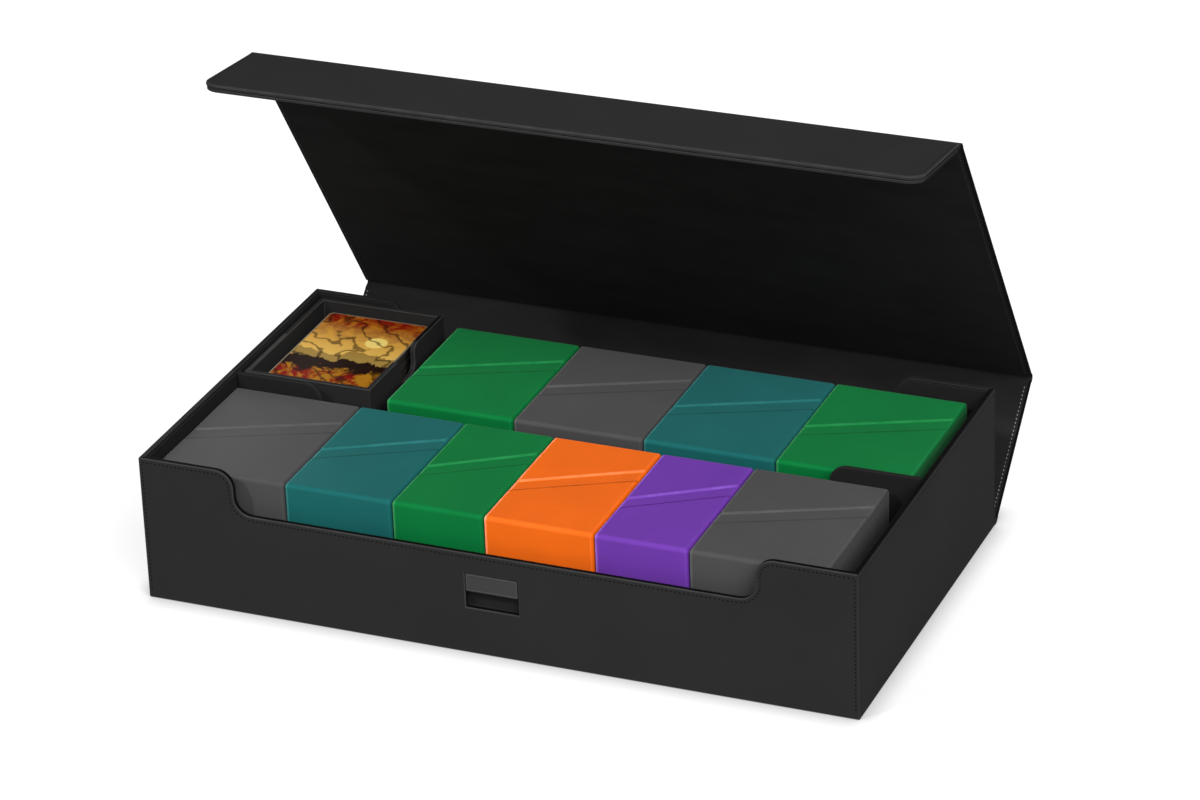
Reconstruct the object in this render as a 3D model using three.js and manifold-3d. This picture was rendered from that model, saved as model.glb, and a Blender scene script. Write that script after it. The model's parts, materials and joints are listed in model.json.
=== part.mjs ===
// A flip-lid storage case for trading cards: an open box with low-cut front and back walls, a book-style
// cover with a spine, a lid and a front flap, a lift-out card tray and two rows of closed deck cases.
// Millimetres, +Z up. The origin is the centre of the underside, and the front of the case faces -Y.

import * as THREE from 'three';
import { mergeVertices } from 'three/addons/utils/BufferGeometryUtils.js';
import Module from 'manifold-3d';

const wasm = await Module();
wasm.setup();

// Clearance between neighbouring pieces, and how far a cutting tool runs past what it cuts
const gap = 0.3;
const overrun = 5;

// Deck cases: a base with an inner neck, and a pull-off lid. Between them runs a slanted sunk band, whose
// two edges are given as shares of the deck case's length, from its front, at its left and right sides.
const wideDeck = 79.8;
const mediumDeck = 65.3;
const narrowDeck = 54.8;
const deckLength = 106;
const deckHeight = 77.2;
const deckCornerRadius = 3;
const deckEdgeRadius = 1.8;
const deckWall = 2.4;
const bandDepth = 0.8;
const bandFrontShares = [0.325, 0.635];
const bandBackShares = [0.415, 0.75];

// Cards and their tray
const cardWidth = 66.5;
const cardLength = 91.5;
const cardThickness = 0.6;
const cardSidePlay = 10;
const cardEndPlay = 11;
const cardBackGap = 1;
const cardDrop = 7;
const trayWall = 3;
const trayFloorThickness = 2.5;
const trayRimDrop = 3.5;
const trayNotchWidth = 21;
const trayNotchDepth = 17;
const trayNotchRadius = 5.5;

// Gaps round the inserts, from the face of the lining where there is one
const rowSlack = 10.1;
const frontRowSetbackShare = 0.65;
const backRowSetbackShare = 0.5;
const frontRowGap = 2.7;
const deckSpacing = 2.1;
const traySideGap = 0.9;
const trayFrontGap = 6.3;
const trayBackGap = 0.4;
const trayDeckGap = 11.8;
const backRowEndGap = 11.6;
const headroom = 7.5;

// Case walls, floor and linings
const wallThickness = 3.4;
const dividerThickness = 3;
const dividerEndGap = 0.5;
const dividerRimDrop = 0.5;
const coverBoard = 2.6;
const floorBoard = 2.5;
const floorLiningThickness = 0.8;
const liningThickness = 0.6;
const liningRimDrop = 1.2;
const notchInset = 60;
const notchDrop = 27;
const notchRadius = 11;

// Window in the front wall, with its closed recess and the tab over its upper part
const windowWidth = 32.6;
const windowHeight = 22;
const windowDrop = 13;
const pocketRim = 3;
const pocketDepth = 2.2;
const pocketBack = 1.2;
const tabHeightShare = 0.5;
const tabThickness = 1.6;
const tabClearance = 0.4;

// Cover, and how far each of its folds stands turned at rest, in degrees from lying flat
const coverClearance = 0.3;
const flapFacingThickness = 1.8;
const flapLength = 70.5;
const flapCornerRadius = 11;
const foldCut = 3.2;
const foldLiningCut = 5.2;
const coverLiningInset = 2;
const stripThickness = 0.8;
const spineFoldDegrees = 42.4;
const lidFoldDegrees = 80.7;
const flapFoldDegrees = 51;

// Magnets in the flap and steel keepers in the front wall
const magnetRadius = 6;
const magnetThickness = 1.5;
const keeperThickness = 1.2;
const magnetReach = 48;
const magnetSpacing = 220;

// Steps in each quarter round
const arcSteps = 2;
const bevelSteps = 2;
const discSides = 24;

// Deck cases from left to right
const frontRow = [
  { name: 'grey', width: wideDeck },
  { name: 'teal', width: mediumDeck },
  { name: 'green', width: narrowDeck },
  { name: 'orange', width: mediumDeck },
  { name: 'purple', width: narrowDeck },
  { name: 'grey', width: wideDeck },
];
const backRow = [
  { name: 'green', width: wideDeck },
  { name: 'grey', width: wideDeck },
  { name: 'teal', width: wideDeck },
  { name: 'green', width: wideDeck },
];

// Sizes worked out from the ones above
const rowWidth = (row) => row.reduce((sum, deck) => sum + deck.width, 0) + (row.length - 1) * deckSpacing;
const trayWidth = cardWidth + cardSidePlay + 2 * trayWall;
const liningFace = gap + liningThickness;
const trayPlay = trayFrontGap + trayBackGap + liningFace;
const trayStart = liningFace + traySideGap;
const backRowStart = trayStart + trayWidth + trayDeckGap;
const frontRowStart = liningFace + frontRowGap;
const backRowLength = backRowStart + rowWidth(backRow);
const frontRowLength = frontRowStart + rowWidth(frontRow);
const innerWidth = Math.max(frontRowLength, backRowLength) + backRowEndGap;
const rowDepth = Math.max(deckLength + rowSlack, cardLength + cardEndPlay + 2 * trayWall + trayPlay);
const trayLength = rowDepth - trayPlay;
const innerDepth = 2 * rowDepth + dividerThickness;
const caseWidth = innerWidth + 2 * wallThickness;
const caseDepth = innerDepth + 2 * wallThickness;

const boxBottom = coverBoard + gap;
const floorTop = boxBottom + floorBoard;
const liningTop = floorTop + gap + floorLiningThickness;
const insertBottom = liningTop + gap;
const caseHeight = insertBottom + deckHeight + headroom;
const notchLow = caseHeight - notchDrop;
const notchStep = caseWidth / 2 - notchInset;
const windowSill = notchLow - windowDrop - windowHeight;

const trayHeight = caseHeight - trayRimDrop - insertBottom;
const trayFront = dividerThickness / 2 + trayFrontGap;
const trayMiddleY = trayFront + trayLength / 2;
const trayMiddleX = -innerWidth / 2 + trayStart + trayWidth / 2;

const coverStack = coverBoard + gap + liningThickness;
const flapStack = coverBoard + gap + flapFacingThickness;
const hingeY = caseDepth / 2 + coverClearance + coverStack;
const spineLength = caseHeight + coverClearance + coverStack;
const lidLength = hingeY + caseDepth / 2 + coverClearance + flapStack;
const keeperHeight = spineLength - magnetReach;

// Colours and finishes
const leatherette = { color: 0x2e2e2e, roughness: 0.6, metalness: 0 };
const innerLeatherette = { color: 0x232323, roughness: 0.65, metalness: 0 };
const microfibre = { color: 0x181818, roughness: 0.95, metalness: 0 };
const tabRubber = { color: 0x4b4b4b, roughness: 0.5, metalness: 0 };
const steel = { color: 0x9a9a9a, roughness: 0.35, metalness: 1 };
const cardPaper = { color: 0xe8e4da, roughness: 0.8, metalness: 0 };
const cardFace = { color: 0xc99a3c, roughness: 0.35, metalness: 0 };
const deckFinishes = {
  grey: { color: 0x555555, roughness: 0.55, metalness: 0 },
  teal: { color: 0x2d6e6c, roughness: 0.55, metalness: 0 },
  green: { color: 0x10773a, roughness: 0.55, metalness: 0 },
  orange: { color: 0xf06e1e, roughness: 0.55, metalness: 0 },
  purple: { color: 0x6c37a5, roughness: 0.55, metalness: 0 },
};

// A closed geometry as a solid for cutting and joining
function toSolid(geometry) {
  const bare = geometry.clone();
  bare.deleteAttribute('normal');
  bare.deleteAttribute('uv');
  const merged = mergeVertices(bare);
  return new wasm.Manifold(new wasm.Mesh({
    numProp: 3,
    vertProperties: new Float32Array(merged.attributes.position.array),
    triVerts: new Uint32Array(merged.index.array),
  }));
}

// A solid as a geometry again
function toGeometry(solid) {
  const mesh = solid.getMesh();
  const geometry = new THREE.BufferGeometry();
  geometry.setAttribute('position', new THREE.BufferAttribute(new Float32Array(mesh.vertProperties), 3));
  geometry.setIndex(new THREE.BufferAttribute(new Uint32Array(mesh.triVerts), 1));
  geometry.computeVertexNormals();
  return geometry;
}

function cut(geometry, ...tools) {
  return toGeometry(tools.reduce((rest, tool) => rest.subtract(toSolid(tool)), toSolid(geometry)));
}

// A block centred in X and Y that stands on z
function block(width, depth, height, x = 0, y = 0, z = 0) {
  return new THREE.BoxGeometry(width, depth, height).translate(x, y, z + height / 2);
}

// A disc lying flat on z
function disc(radius, thickness, x = 0, y = 0, z = 0) {
  const cylinder = new THREE.CylinderGeometry(radius, radius, thickness, discSides);
  return cylinder.rotateX(Math.PI / 2).translate(x, y, z + thickness / 2);
}

// A shape drawn in X and Z, made an upright plate whose thickness is centred on y = 0
function uprightPlate(shape, thickness) {
  const plate = new THREE.ExtrudeGeometry(shape, {
    depth: thickness, bevelEnabled: false, curveSegments: arcSteps,
  });
  return plate.rotateX(Math.PI / 2).translate(0, thickness / 2, 0);
}

// The outline of a wall whose top edge drops to low in the middle, in an S-curve at each end.
// step is how far each drop stands from the middle.
function notchedOutline(width, height, low, step, radius) {
  const shape = new THREE.Shape();
  const side = width / 2;
  shape.moveTo(-side, 0);
  shape.lineTo(side, 0);
  shape.lineTo(side, height);
  shape.absarc(step + radius, height - radius, radius, Math.PI / 2, Math.PI, false);
  shape.absarc(step - radius, low + radius, radius, 0, -Math.PI / 2, true);
  shape.absarc(-step + radius, low + radius, radius, -Math.PI / 2, -Math.PI, true);
  shape.absarc(-step - radius, height - radius, radius, 0, Math.PI / 2, false);
  shape.lineTo(-side, height);
  shape.closePath();
  return shape;
}

// A named piece in its own material, added to a group at x, y, z
function addPiece(group, name, geometry, finish, x = 0, y = 0, z = 0) {
  const mesh = new THREE.Mesh(geometry, new THREE.MeshStandardMaterial(finish));
  mesh.name = name;
  mesh.position.set(x, y, z);
  group.add(mesh);
  return mesh;
}

// The box: base board, four walls, floor and the linings
function addCase(group) {
  const baseDepth = hingeY - foldCut + caseDepth / 2;
  addPiece(group, 'base_board', block(caseWidth, baseDepth, coverBoard), leatherette,
    0, baseDepth / 2 - caseDepth / 2, 0);

  const wallHeight = caseHeight - boxBottom;
  const lowEdge = notchLow - boxBottom;
  const wallY = caseDepth / 2 - wallThickness / 2;
  const wallX = caseWidth / 2 - wallThickness / 2;
  const outline = notchedOutline(caseWidth, wallHeight, lowEdge, notchStep, notchRadius);
  const plate = uprightPlate(outline, wallThickness);
  const windowBottom = windowSill - boxBottom;
  const windowHole = block(windowWidth, wallThickness + 2 * overrun, windowHeight, 0, 0, windowBottom);
  const keeperPocketDepth = keeperThickness + gap;
  const keeperPockets = [-magnetSpacing / 2, magnetSpacing / 2].map((x) => (
    disc(magnetRadius + gap, keeperPocketDepth + overrun).rotateX(-Math.PI / 2)
      .translate(x, wallThickness / 2 - keeperPocketDepth, keeperHeight - boxBottom)));
  const frontPlate = cut(plate, windowHole, ...keeperPockets);
  addPiece(group, 'front_wall', frontPlate, leatherette, 0, -wallY, boxBottom);
  addPiece(group, 'back_wall', plate, leatherette, 0, wallY, boxBottom);

  const sideDepth = innerDepth - 2 * gap;
  const sidePlate = block(wallThickness, sideDepth, wallHeight);
  addPiece(group, 'left_wall', sidePlate, leatherette, -wallX, 0, boxBottom);
  addPiece(group, 'right_wall', sidePlate, leatherette, wallX, 0, boxBottom);

  const floorWidth = innerWidth - 2 * gap;
  const floor = block(floorWidth, sideDepth, floorBoard);
  const floorSheet = block(floorWidth, sideDepth, floorLiningThickness);
  addPiece(group, 'floor_board', floor, innerLeatherette, 0, 0, boxBottom);
  addPiece(group, 'floor_lining', floorSheet, microfibre, 0, 0, floorTop + gap);
}

// Thin linings on the inner faces of the four walls, standing on the floor lining
function addWallLinings(group) {
  const bottom = insertBottom;
  const height = caseHeight - liningRimDrop - bottom;
  const low = notchLow - liningRimDrop - bottom;
  const width = innerWidth - 2 * gap;
  const liningY = innerDepth / 2 - gap - liningThickness / 2;
  const liningX = innerWidth / 2 - gap - liningThickness / 2;
  const sideDepth = 2 * liningY - liningThickness - 2 * gap;
  const outline = notchedOutline(width, height, low, notchStep, notchRadius);
  const plate = uprightPlate(outline, liningThickness);
  const rim = pocketRim + gap;
  const holeBottom = windowSill - rim - bottom;
  const pocketHole = block(
    windowWidth + 2 * rim, liningThickness + 2 * overrun, windowHeight + 2 * rim, 0, 0, holeBottom);
  const sidePlate = block(liningThickness, sideDepth, height);
  addPiece(group, 'front_lining', cut(plate, pocketHole), microfibre, 0, -liningY, bottom);
  addPiece(group, 'back_lining', plate, microfibre, 0, liningY, bottom);
  addPiece(group, 'left_lining', sidePlate, microfibre, -liningX, 0, bottom);
  addPiece(group, 'right_lining', sidePlate, microfibre, liningX, 0, bottom);
}

// Two steel keepers let into the front wall from inside, where the closed flap's magnets come
function addKeepers(group) {
  [['keeper_left', -1], ['keeper_right', 1]].forEach(([name, side]) => {
    const keeper = disc(magnetRadius, keeperThickness).rotateX(-Math.PI / 2);
    const y = -innerDepth / 2 - keeperThickness;
    addPiece(group, name, keeper, steel, side * magnetSpacing / 2, y, keeperHeight);
  });
}

// The closed recess behind the window, and the tab that hangs over its upper part
function addWindow(group) {
  const cupDepth = pocketDepth + pocketBack;
  const cup = block(windowWidth + 2 * pocketRim, cupDepth, windowHeight + 2 * pocketRim, 0, 0, -pocketRim);
  const hollowY = (pocketDepth - overrun - cupDepth) / 2;
  const hollow = block(windowWidth, pocketDepth + overrun, windowHeight, 0, hollowY);
  const y = -innerDepth / 2 + gap + cupDepth / 2;
  addPiece(group, 'window_pocket', cut(cup, hollow), innerLeatherette, 0, y, windowSill);

  const tabHeight = windowHeight * tabHeightShare;
  const tabTop = windowSill + windowHeight - tabClearance;
  const tab = block(windowWidth - 2 * tabClearance, tabThickness, tabHeight);
  addPiece(group, 'pull_tab', tab, tabRubber, 0, (tabThickness - caseDepth) / 2, tabTop - tabHeight);
}

// The wall between the two rows, with the same low middle as the front wall
function addDivider(group) {
  const bottom = insertBottom;
  const height = caseHeight - dividerRimDrop - bottom;
  const width = innerWidth - 2 * (gap + liningThickness + dividerEndGap);
  const outline = notchedOutline(width, height, notchLow - bottom, notchStep, notchRadius);
  addPiece(group, 'row_divider', uprightPlate(outline, dividerThickness), innerLeatherette, 0, 0, bottom);
}

// A flat board of the cover in its own fold's frame: it runs along Y and its outer face is at z = 0
function coverPlate(width, start, end, thickness, level = 0) {
  return block(width, end - start, thickness, 0, (start + end) / 2, level);
}

// A layer of the flap, rounded at its two free corners
function flapPlate(width, start, end, radius, thickness) {
  const side = width / 2;
  const shape = new THREE.Shape();
  shape.moveTo(-side, start);
  shape.lineTo(side, start);
  shape.absarc(side - radius, end - radius, radius, 0, Math.PI / 2, false);
  shape.absarc(-side + radius, end - radius, radius, Math.PI / 2, Math.PI, false);
  shape.closePath();
  return new THREE.ExtrudeGeometry(shape, {
    depth: thickness, bevelEnabled: false, curveSegments: arcSteps,
  });
}

// A bent leather strip between two boards: an arc that is tangent to both outer faces
function foldStrip(foldDegrees) {
  const fold = THREE.MathUtils.degToRad(foldDegrees);
  const reach = foldCut - gap;
  const radius = reach / Math.tan(fold / 2);
  const shape = new THREE.Shape();
  shape.absarc(-reach, radius, radius, -Math.PI / 2, fold - Math.PI / 2, false);
  shape.absarc(-reach, radius, radius - stripThickness, fold - Math.PI / 2, -Math.PI / 2, true);
  shape.closePath();
  const strip = new THREE.ExtrudeGeometry(shape, {
    depth: caseWidth, bevelEnabled: false, curveSegments: arcSteps,
  });
  const turn = new THREE.Matrix4().makeBasis(
    new THREE.Vector3(0, 1, 0), new THREE.Vector3(0, 0, 1), new THREE.Vector3(1, 0, 0));
  return strip.applyMatrix4(turn).translate(-caseWidth / 2, 0, 0);
}

// A group that turns at a fold, seen from the board before it
function foldGroup(parent, y, foldDegrees) {
  const group = new THREE.Group();
  group.position.set(0, y, 0);
  group.rotation.x = THREE.MathUtils.degToRad(foldDegrees);
  parent.add(group);
  return group;
}

// The cover: spine, lid and flap, each a board with its lining, joined by leather strips
function addCover(group) {
  const liningWidth = caseWidth - 2 * coverLiningInset;
  const liningLevel = coverBoard + gap;

  addPiece(group, 'base_hinge_strip', foldStrip(spineFoldDegrees), leatherette, 0, hingeY, 0);
  const spine = foldGroup(group, hingeY, spineFoldDegrees);
  const spinePlate = coverPlate(caseWidth, foldCut, spineLength - foldCut, coverBoard);
  addPiece(spine, 'spine_board', spinePlate, leatherette);
  addPiece(spine, 'spine_lining', coverPlate(
    liningWidth, foldLiningCut, spineLength - foldLiningCut, liningThickness, liningLevel), microfibre);

  addPiece(spine, 'lid_hinge_strip', foldStrip(lidFoldDegrees), leatherette, 0, spineLength, 0);
  const lid = foldGroup(spine, spineLength, lidFoldDegrees);
  addPiece(lid, 'lid_board', coverPlate(caseWidth, foldCut, lidLength - foldCut, coverBoard), leatherette);
  addPiece(lid, 'lid_lining', coverPlate(
    liningWidth, foldLiningCut, lidLength - foldLiningCut, liningThickness, liningLevel), microfibre);

  addPiece(lid, 'flap_hinge_strip', foldStrip(flapFoldDegrees), leatherette, 0, lidLength, 0);
  const flap = foldGroup(lid, lidLength, flapFoldDegrees);
  const magnetPocket = magnetThickness + gap;
  const magnetX = [-magnetSpacing / 2, magnetSpacing / 2];
  const pockets = magnetX.map((x) => disc(
    magnetRadius + gap, magnetPocket + overrun, x, magnetReach, coverBoard - magnetPocket));
  const board = flapPlate(caseWidth, foldCut, flapLength, flapCornerRadius, coverBoard);
  addPiece(flap, 'flap_board', cut(board, ...pockets), leatherette);
  const facing = flapPlate(
    liningWidth, foldLiningCut, flapLength - coverLiningInset,
    flapCornerRadius - coverLiningInset, flapFacingThickness);
  addPiece(flap, 'flap_facing', facing, leatherette, 0, 0, liningLevel);
  ['magnet_left', 'magnet_right'].forEach((name, i) => {
    addPiece(flap, name, disc(magnetRadius, magnetThickness), steel,
      magnetX[i], magnetReach, coverBoard - magnetThickness);
  });
}

// The card tray with its stack of cards, in the back left corner
function addCardTray(group) {
  const tray = new THREE.Group();
  tray.position.set(trayMiddleX, trayMiddleY, insertBottom);
  group.add(tray);
  const wallBottom = trayFloorThickness + gap;
  const wallHeight = trayHeight - wallBottom;
  const wallY = trayLength / 2 - trayWall / 2;
  const wallX = trayWidth / 2 - trayWall / 2;
  const sideLength = trayLength - 2 * trayWall - 2 * gap;
  const endPlate = block(trayWidth, trayWall, wallHeight);
  const sidePlate = block(trayWall, sideLength, wallHeight);
  const notched = notchedOutline(
    sideLength, wallHeight, wallHeight - trayNotchDepth, trayNotchWidth / 2, trayNotchRadius);
  const notchedPlate = uprightPlate(notched, trayWall).rotateZ(Math.PI / 2);
  addPiece(tray, 'tray_floor', block(trayWidth, trayLength, trayFloorThickness), innerLeatherette);
  addPiece(tray, 'tray_front', endPlate, innerLeatherette, 0, -wallY, wallBottom);
  addPiece(tray, 'tray_back', endPlate, innerLeatherette, 0, wallY, wallBottom);
  addPiece(tray, 'tray_left', sidePlate, innerLeatherette, -wallX, 0, wallBottom);
  addPiece(tray, 'tray_right', notchedPlate, innerLeatherette, wallX, 0, wallBottom);

  const cardY = trayLength / 2 - trayWall - cardBackGap - cardLength / 2;
  const cardTop = trayHeight - cardDrop;
  const stackHeight = cardTop - cardThickness - gap - wallBottom;
  addPiece(tray, 'card_stack', block(cardWidth, cardLength, stackHeight), cardPaper, 0, cardY, wallBottom);
  addPiece(tray, 'top_card', block(cardWidth, cardLength, cardThickness), cardFace,
    0, cardY, cardTop - cardThickness);
}

// The outer form of a deck case, lying along Y, with rounded corners and edges, or that form sunk by inset
function deckForm(width, inset) {
  const side = width / 2 - inset;
  const low = inset;
  const high = deckHeight - inset;
  const radius = deckCornerRadius;
  const shape = new THREE.Shape();
  shape.absarc(side - radius, low + radius, radius, -Math.PI / 2, 0, false);
  shape.absarc(side - radius, high - radius, radius, 0, Math.PI / 2, false);
  shape.absarc(-side + radius, high - radius, radius, Math.PI / 2, Math.PI, false);
  shape.absarc(-side + radius, low + radius, radius, Math.PI, 3 * Math.PI / 2, false);
  shape.closePath();
  const form = new THREE.ExtrudeGeometry(shape, {
    depth: deckLength - 2 * deckEdgeRadius,
    curveSegments: arcSteps,
    bevelThickness: deckEdgeRadius,
    bevelSize: deckEdgeRadius,
    bevelOffset: -deckEdgeRadius,
    bevelSegments: bevelSteps,
  });
  return form.rotateX(Math.PI / 2).translate(0, deckLength / 2 - deckEdgeRadius, 0);
}

// The region in front of a slanted line across a deck case, or behind it, as a tall prism
function besideLine(width, shares, behind) {
  const [leftShare, rightShare] = shares;
  const side = width / 2 + overrun;
  const end = deckLength / 2 + overrun;
  const slope = (rightShare - leftShare) * deckLength / width;
  const middle = deckLength * (leftShare + rightShare - 1) / 2;
  const far = behind ? end : -end;
  const shape = new THREE.Shape();
  shape.moveTo(-side, far);
  shape.lineTo(side, far);
  shape.lineTo(side, middle + slope * side);
  shape.lineTo(-side, middle - slope * side);
  shape.closePath();
  const prism = new THREE.ExtrudeGeometry(shape, { depth: deckHeight + 2 * overrun, bevelEnabled: false });
  return prism.translate(0, 0, -overrun);
}

// One deck case: the base is solid where its cards lie, and its neck fills the lid
function addDeck(group, name, width, finish, x, y) {
  const deck = new THREE.Group();
  deck.position.set(x, y, insertBottom);
  group.add(deck);
  const form = toSolid(deckForm(width, 0));
  const sunkForm = toSolid(deckForm(width, bandDepth));
  const neckBack = deckLength / 2 - deckWall;
  const neckLength = deckLength - 2 * deckWall;
  const neck = block(width - 2 * deckWall, neckLength, deckHeight - 2 * deckWall, 0, 0, deckWall);
  const hollowFront = -deckLength / 2 - overrun;
  const hollowBack = neckBack + gap;
  const hollow = block(
    width - 2 * deckWall + 2 * gap, hollowBack - hollowFront, deckHeight - 2 * deckWall + 2 * gap,
    0, (hollowFront + hollowBack) / 2, deckWall - gap);
  const front = form.intersect(toSolid(besideLine(width, bandFrontShares, false)));
  const band = sunkForm.intersect(toSolid(besideLine(width, bandBackShares, false).translate(0, -gap, 0)));
  const base = front.add(band).add(toSolid(neck));
  const lid = form.intersect(toSolid(besideLine(width, bandBackShares, true))).subtract(toSolid(hollow));
  addPiece(deck, `${name}_base`, toGeometry(base), finish);
  addPiece(deck, `${name}_lid`, toGeometry(lid), finish);
}

// A row of deck cases from the x where its first one starts
function addRow(group, prefix, row, startX, y) {
  let x = startX;
  row.forEach((deck, i) => {
    addDeck(group, `deck_${prefix}${i + 1}`, deck.width, deckFinishes[deck.name], x + deck.width / 2, y);
    x += deck.width + deckSpacing;
  });
}

const storageCase = new THREE.Group();
addCase(storageCase);
addWallLinings(storageCase);
addKeepers(storageCase);
addWindow(storageCase);
addDivider(storageCase);
addCover(storageCase);
addCardTray(storageCase);

const rowFree = rowDepth - deckLength;
const frontRowY = -innerDepth / 2 + rowFree * frontRowSetbackShare + deckLength / 2;
const backRowY = dividerThickness / 2 + rowFree * backRowSetbackShare + deckLength / 2;
addRow(storageCase, 'front', frontRow, -innerWidth / 2 + frontRowStart, frontRowY);
addRow(storageCase, 'back', backRow, -innerWidth / 2 + backRowStart, backRowY);

export default storageCase;
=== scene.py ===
"""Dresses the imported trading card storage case.

Leather, linings, cover, folds, stitching, tray, cards and deck cases get their shapes and finishes here.
Every size 
is in metres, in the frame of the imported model: +Z up, the low-cut front facing -Y.
"""

import json
import math
import random

import bmesh
import bpy
from bpy.props import FloatProperty, FloatVectorProperty, IntProperty, PointerProperty
from mathutils import Matrix, Quaternion, Vector
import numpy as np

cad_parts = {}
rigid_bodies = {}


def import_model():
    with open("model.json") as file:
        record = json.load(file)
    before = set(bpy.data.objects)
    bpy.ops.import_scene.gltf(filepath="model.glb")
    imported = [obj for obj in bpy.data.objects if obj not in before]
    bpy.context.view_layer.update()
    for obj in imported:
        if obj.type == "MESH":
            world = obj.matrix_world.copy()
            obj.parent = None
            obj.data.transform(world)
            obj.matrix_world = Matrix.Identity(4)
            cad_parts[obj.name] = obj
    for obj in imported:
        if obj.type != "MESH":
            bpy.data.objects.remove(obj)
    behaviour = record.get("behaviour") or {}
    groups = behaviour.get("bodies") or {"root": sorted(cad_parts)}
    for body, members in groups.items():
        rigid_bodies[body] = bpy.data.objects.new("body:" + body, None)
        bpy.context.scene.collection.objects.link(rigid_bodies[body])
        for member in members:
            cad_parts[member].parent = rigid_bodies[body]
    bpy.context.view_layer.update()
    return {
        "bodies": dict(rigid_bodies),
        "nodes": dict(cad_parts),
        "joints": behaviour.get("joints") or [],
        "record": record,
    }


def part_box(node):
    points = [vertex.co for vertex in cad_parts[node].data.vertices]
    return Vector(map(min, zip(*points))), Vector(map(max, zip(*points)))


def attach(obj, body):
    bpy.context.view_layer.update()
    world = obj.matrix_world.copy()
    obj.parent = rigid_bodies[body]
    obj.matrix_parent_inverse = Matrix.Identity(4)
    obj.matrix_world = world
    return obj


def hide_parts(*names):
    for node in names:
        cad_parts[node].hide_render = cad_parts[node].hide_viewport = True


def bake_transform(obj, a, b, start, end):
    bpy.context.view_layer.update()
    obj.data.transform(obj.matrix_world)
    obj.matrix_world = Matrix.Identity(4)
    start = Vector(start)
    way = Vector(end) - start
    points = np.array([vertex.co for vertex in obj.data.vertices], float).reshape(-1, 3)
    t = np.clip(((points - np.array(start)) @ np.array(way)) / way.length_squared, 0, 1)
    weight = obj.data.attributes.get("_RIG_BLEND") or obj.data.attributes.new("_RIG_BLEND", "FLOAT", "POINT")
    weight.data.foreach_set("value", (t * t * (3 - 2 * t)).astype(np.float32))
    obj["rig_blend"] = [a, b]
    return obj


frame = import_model()
SLOTS = {part["node"]: part["material_slot"] for part in frame["record"]["subparts"]}
JOINTS = {joint["name"]: joint for joint in frame["joints"]}

bl_info = {
    "name": "Trading card storage case",
    "version": (1, 0, 0),
    "blender": (4, 5, 0),
    "location": "View3D > Sidebar > Card Case",
    "description": "Builds the looks of a flip-lid storage case for card decks around its packed model",
    "category": "Object",
}

# The axis that each side of the box faces along, and which way
SIDES = {"front": (1, -1), "back": (1, 1), "left": (0, -1), "right": (0, 1)}
# The folds of the cover, with the bodies that each of them joins
FOLDS = (("base", "case", "spine"), ("lid", "spine", "lid"), ("flap", "lid", "flap"))
# Angles between faces: over the first an edge is rounded, over the second shaded sharp, under the third flat
SHARP_EDGE = math.radians(30)
SHADE_BREAK = math.radians(40)
FLAT_ENOUGH = math.radians(1)
# A distance in metres that counts as none, and a height that is over everything
NEAR = 1e-5
ABOVE_ALL = 1.0
# The least share of a face's normal along an axis at which it counts as facing that way
FACING = 0.5
RIM_FACING = 0.2
SLOPE_FACING = 0.9
# The same for the painted sides of the cover's boards, and of the flap's
BOARD_PAINT = 0.2
FLAP_PAINT = 0.95
# Between these shares along X a face belongs to a deck case's side rounding
SIDE_TURN, SIDE_FLAT = 0.1, 0.99
# How finely roundings and bends are divided
TIGHT_SEGMENTS = 2
EDGE_SEGMENTS = 3
SOFT_SEGMENTS = 4
CARD_SEGMENTS = 5
STEP_SEGMENTS = 8
FLAP_SEGMENTS = 10
FOLD_STEPS = 12
ARC_STEPS = 10
# How far in from the outer faces the second finish of a ring starts, as a share of the rim's rounding
BEHIND_RIM = 0.97
# How far the lining's hole stands back from the window, in metres
WINDOW_MARGIN = 0.003
# The seed of the stacked cards' shifts, and how much of its level in the stack a card fills
STACK_SEED = 7
CARD_SHARE = 0.86
# Where the deck cases' two seams start on the left and end on the right, as shares of the length
DECK_BAND_FRONT = (0.335, 0.665)
DECK_BAND_BACK = (0.425, 0.765)

# The layer of a mesh that holds its faces' marks, and how much paler each mark makes a face, as a share of
# the finish's lift. A mark under 0 makes it darker. The marks stand for wear and also for painted highlight
# and painted shade
RIM = "rim"
# Leather corners, boards and divider: wear with a faint painted highlight
CORNER_MARK = 0.3
BOARD_MARK = 0.1
DIVIDER_MARK = 0.1
# Painted highlight on the card tray's rims
TRAY_RIM_HIGHLIGHT = 1.6
# Painted highlight on all of a deck case's roundings
DECK_EDGE_HIGHLIGHT = 0.5
# A deck case's painted highlight grows to the first as its rounding turns to the left, at the rate of the
# second.
# To the right its mark starts at the third as painted highlight and falls by the fourth into painted shade
DECK_LEFT_HIGHLIGHT_MOST = 11
DECK_LEFT_HIGHLIGHT_RATE = 2.2
DECK_RIGHT_HIGHLIGHT_START = 1.5
DECK_RIGHT_SHADE_FALL = 3
# Painted highlight on the slope of a deck case's lid down to the band, and painted shade on the base's slope
DECK_LID_HIGHLIGHT = 4.2
DECK_BASE_SHADE = -3
# Painted shade on the side walls' rims, in place of the paler rim
SIDE_RIM_SHADE = -0.35

# The distance between nodes in a tree's row, and two plain colours
NODE_STEP = 200
GREY = (0.5, 0.5, 0.5, 1)
WHITE = (1, 1, 1, 1)
# The sockets of a Mix node for colours: factor, first and second colour, and the result
MIX_INPUTS, MIX_RESULT = (0, 6, 7), 2
# How much less rough a leather is on its pebbles, and how much rougher between them
GRAIN_CHANGE = (-0.05, 0.12)
# Changes of tone for each metre of the card stack's height
TONES_PER_METRE = 1600.0
# The top card's sun from the card's middle, and where its soft edge ends and starts, in metres
SUN_PLACE = (0.012, 0.014, 0.0)
SUN_EDGE = (0.0075, 0.0065)
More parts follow.
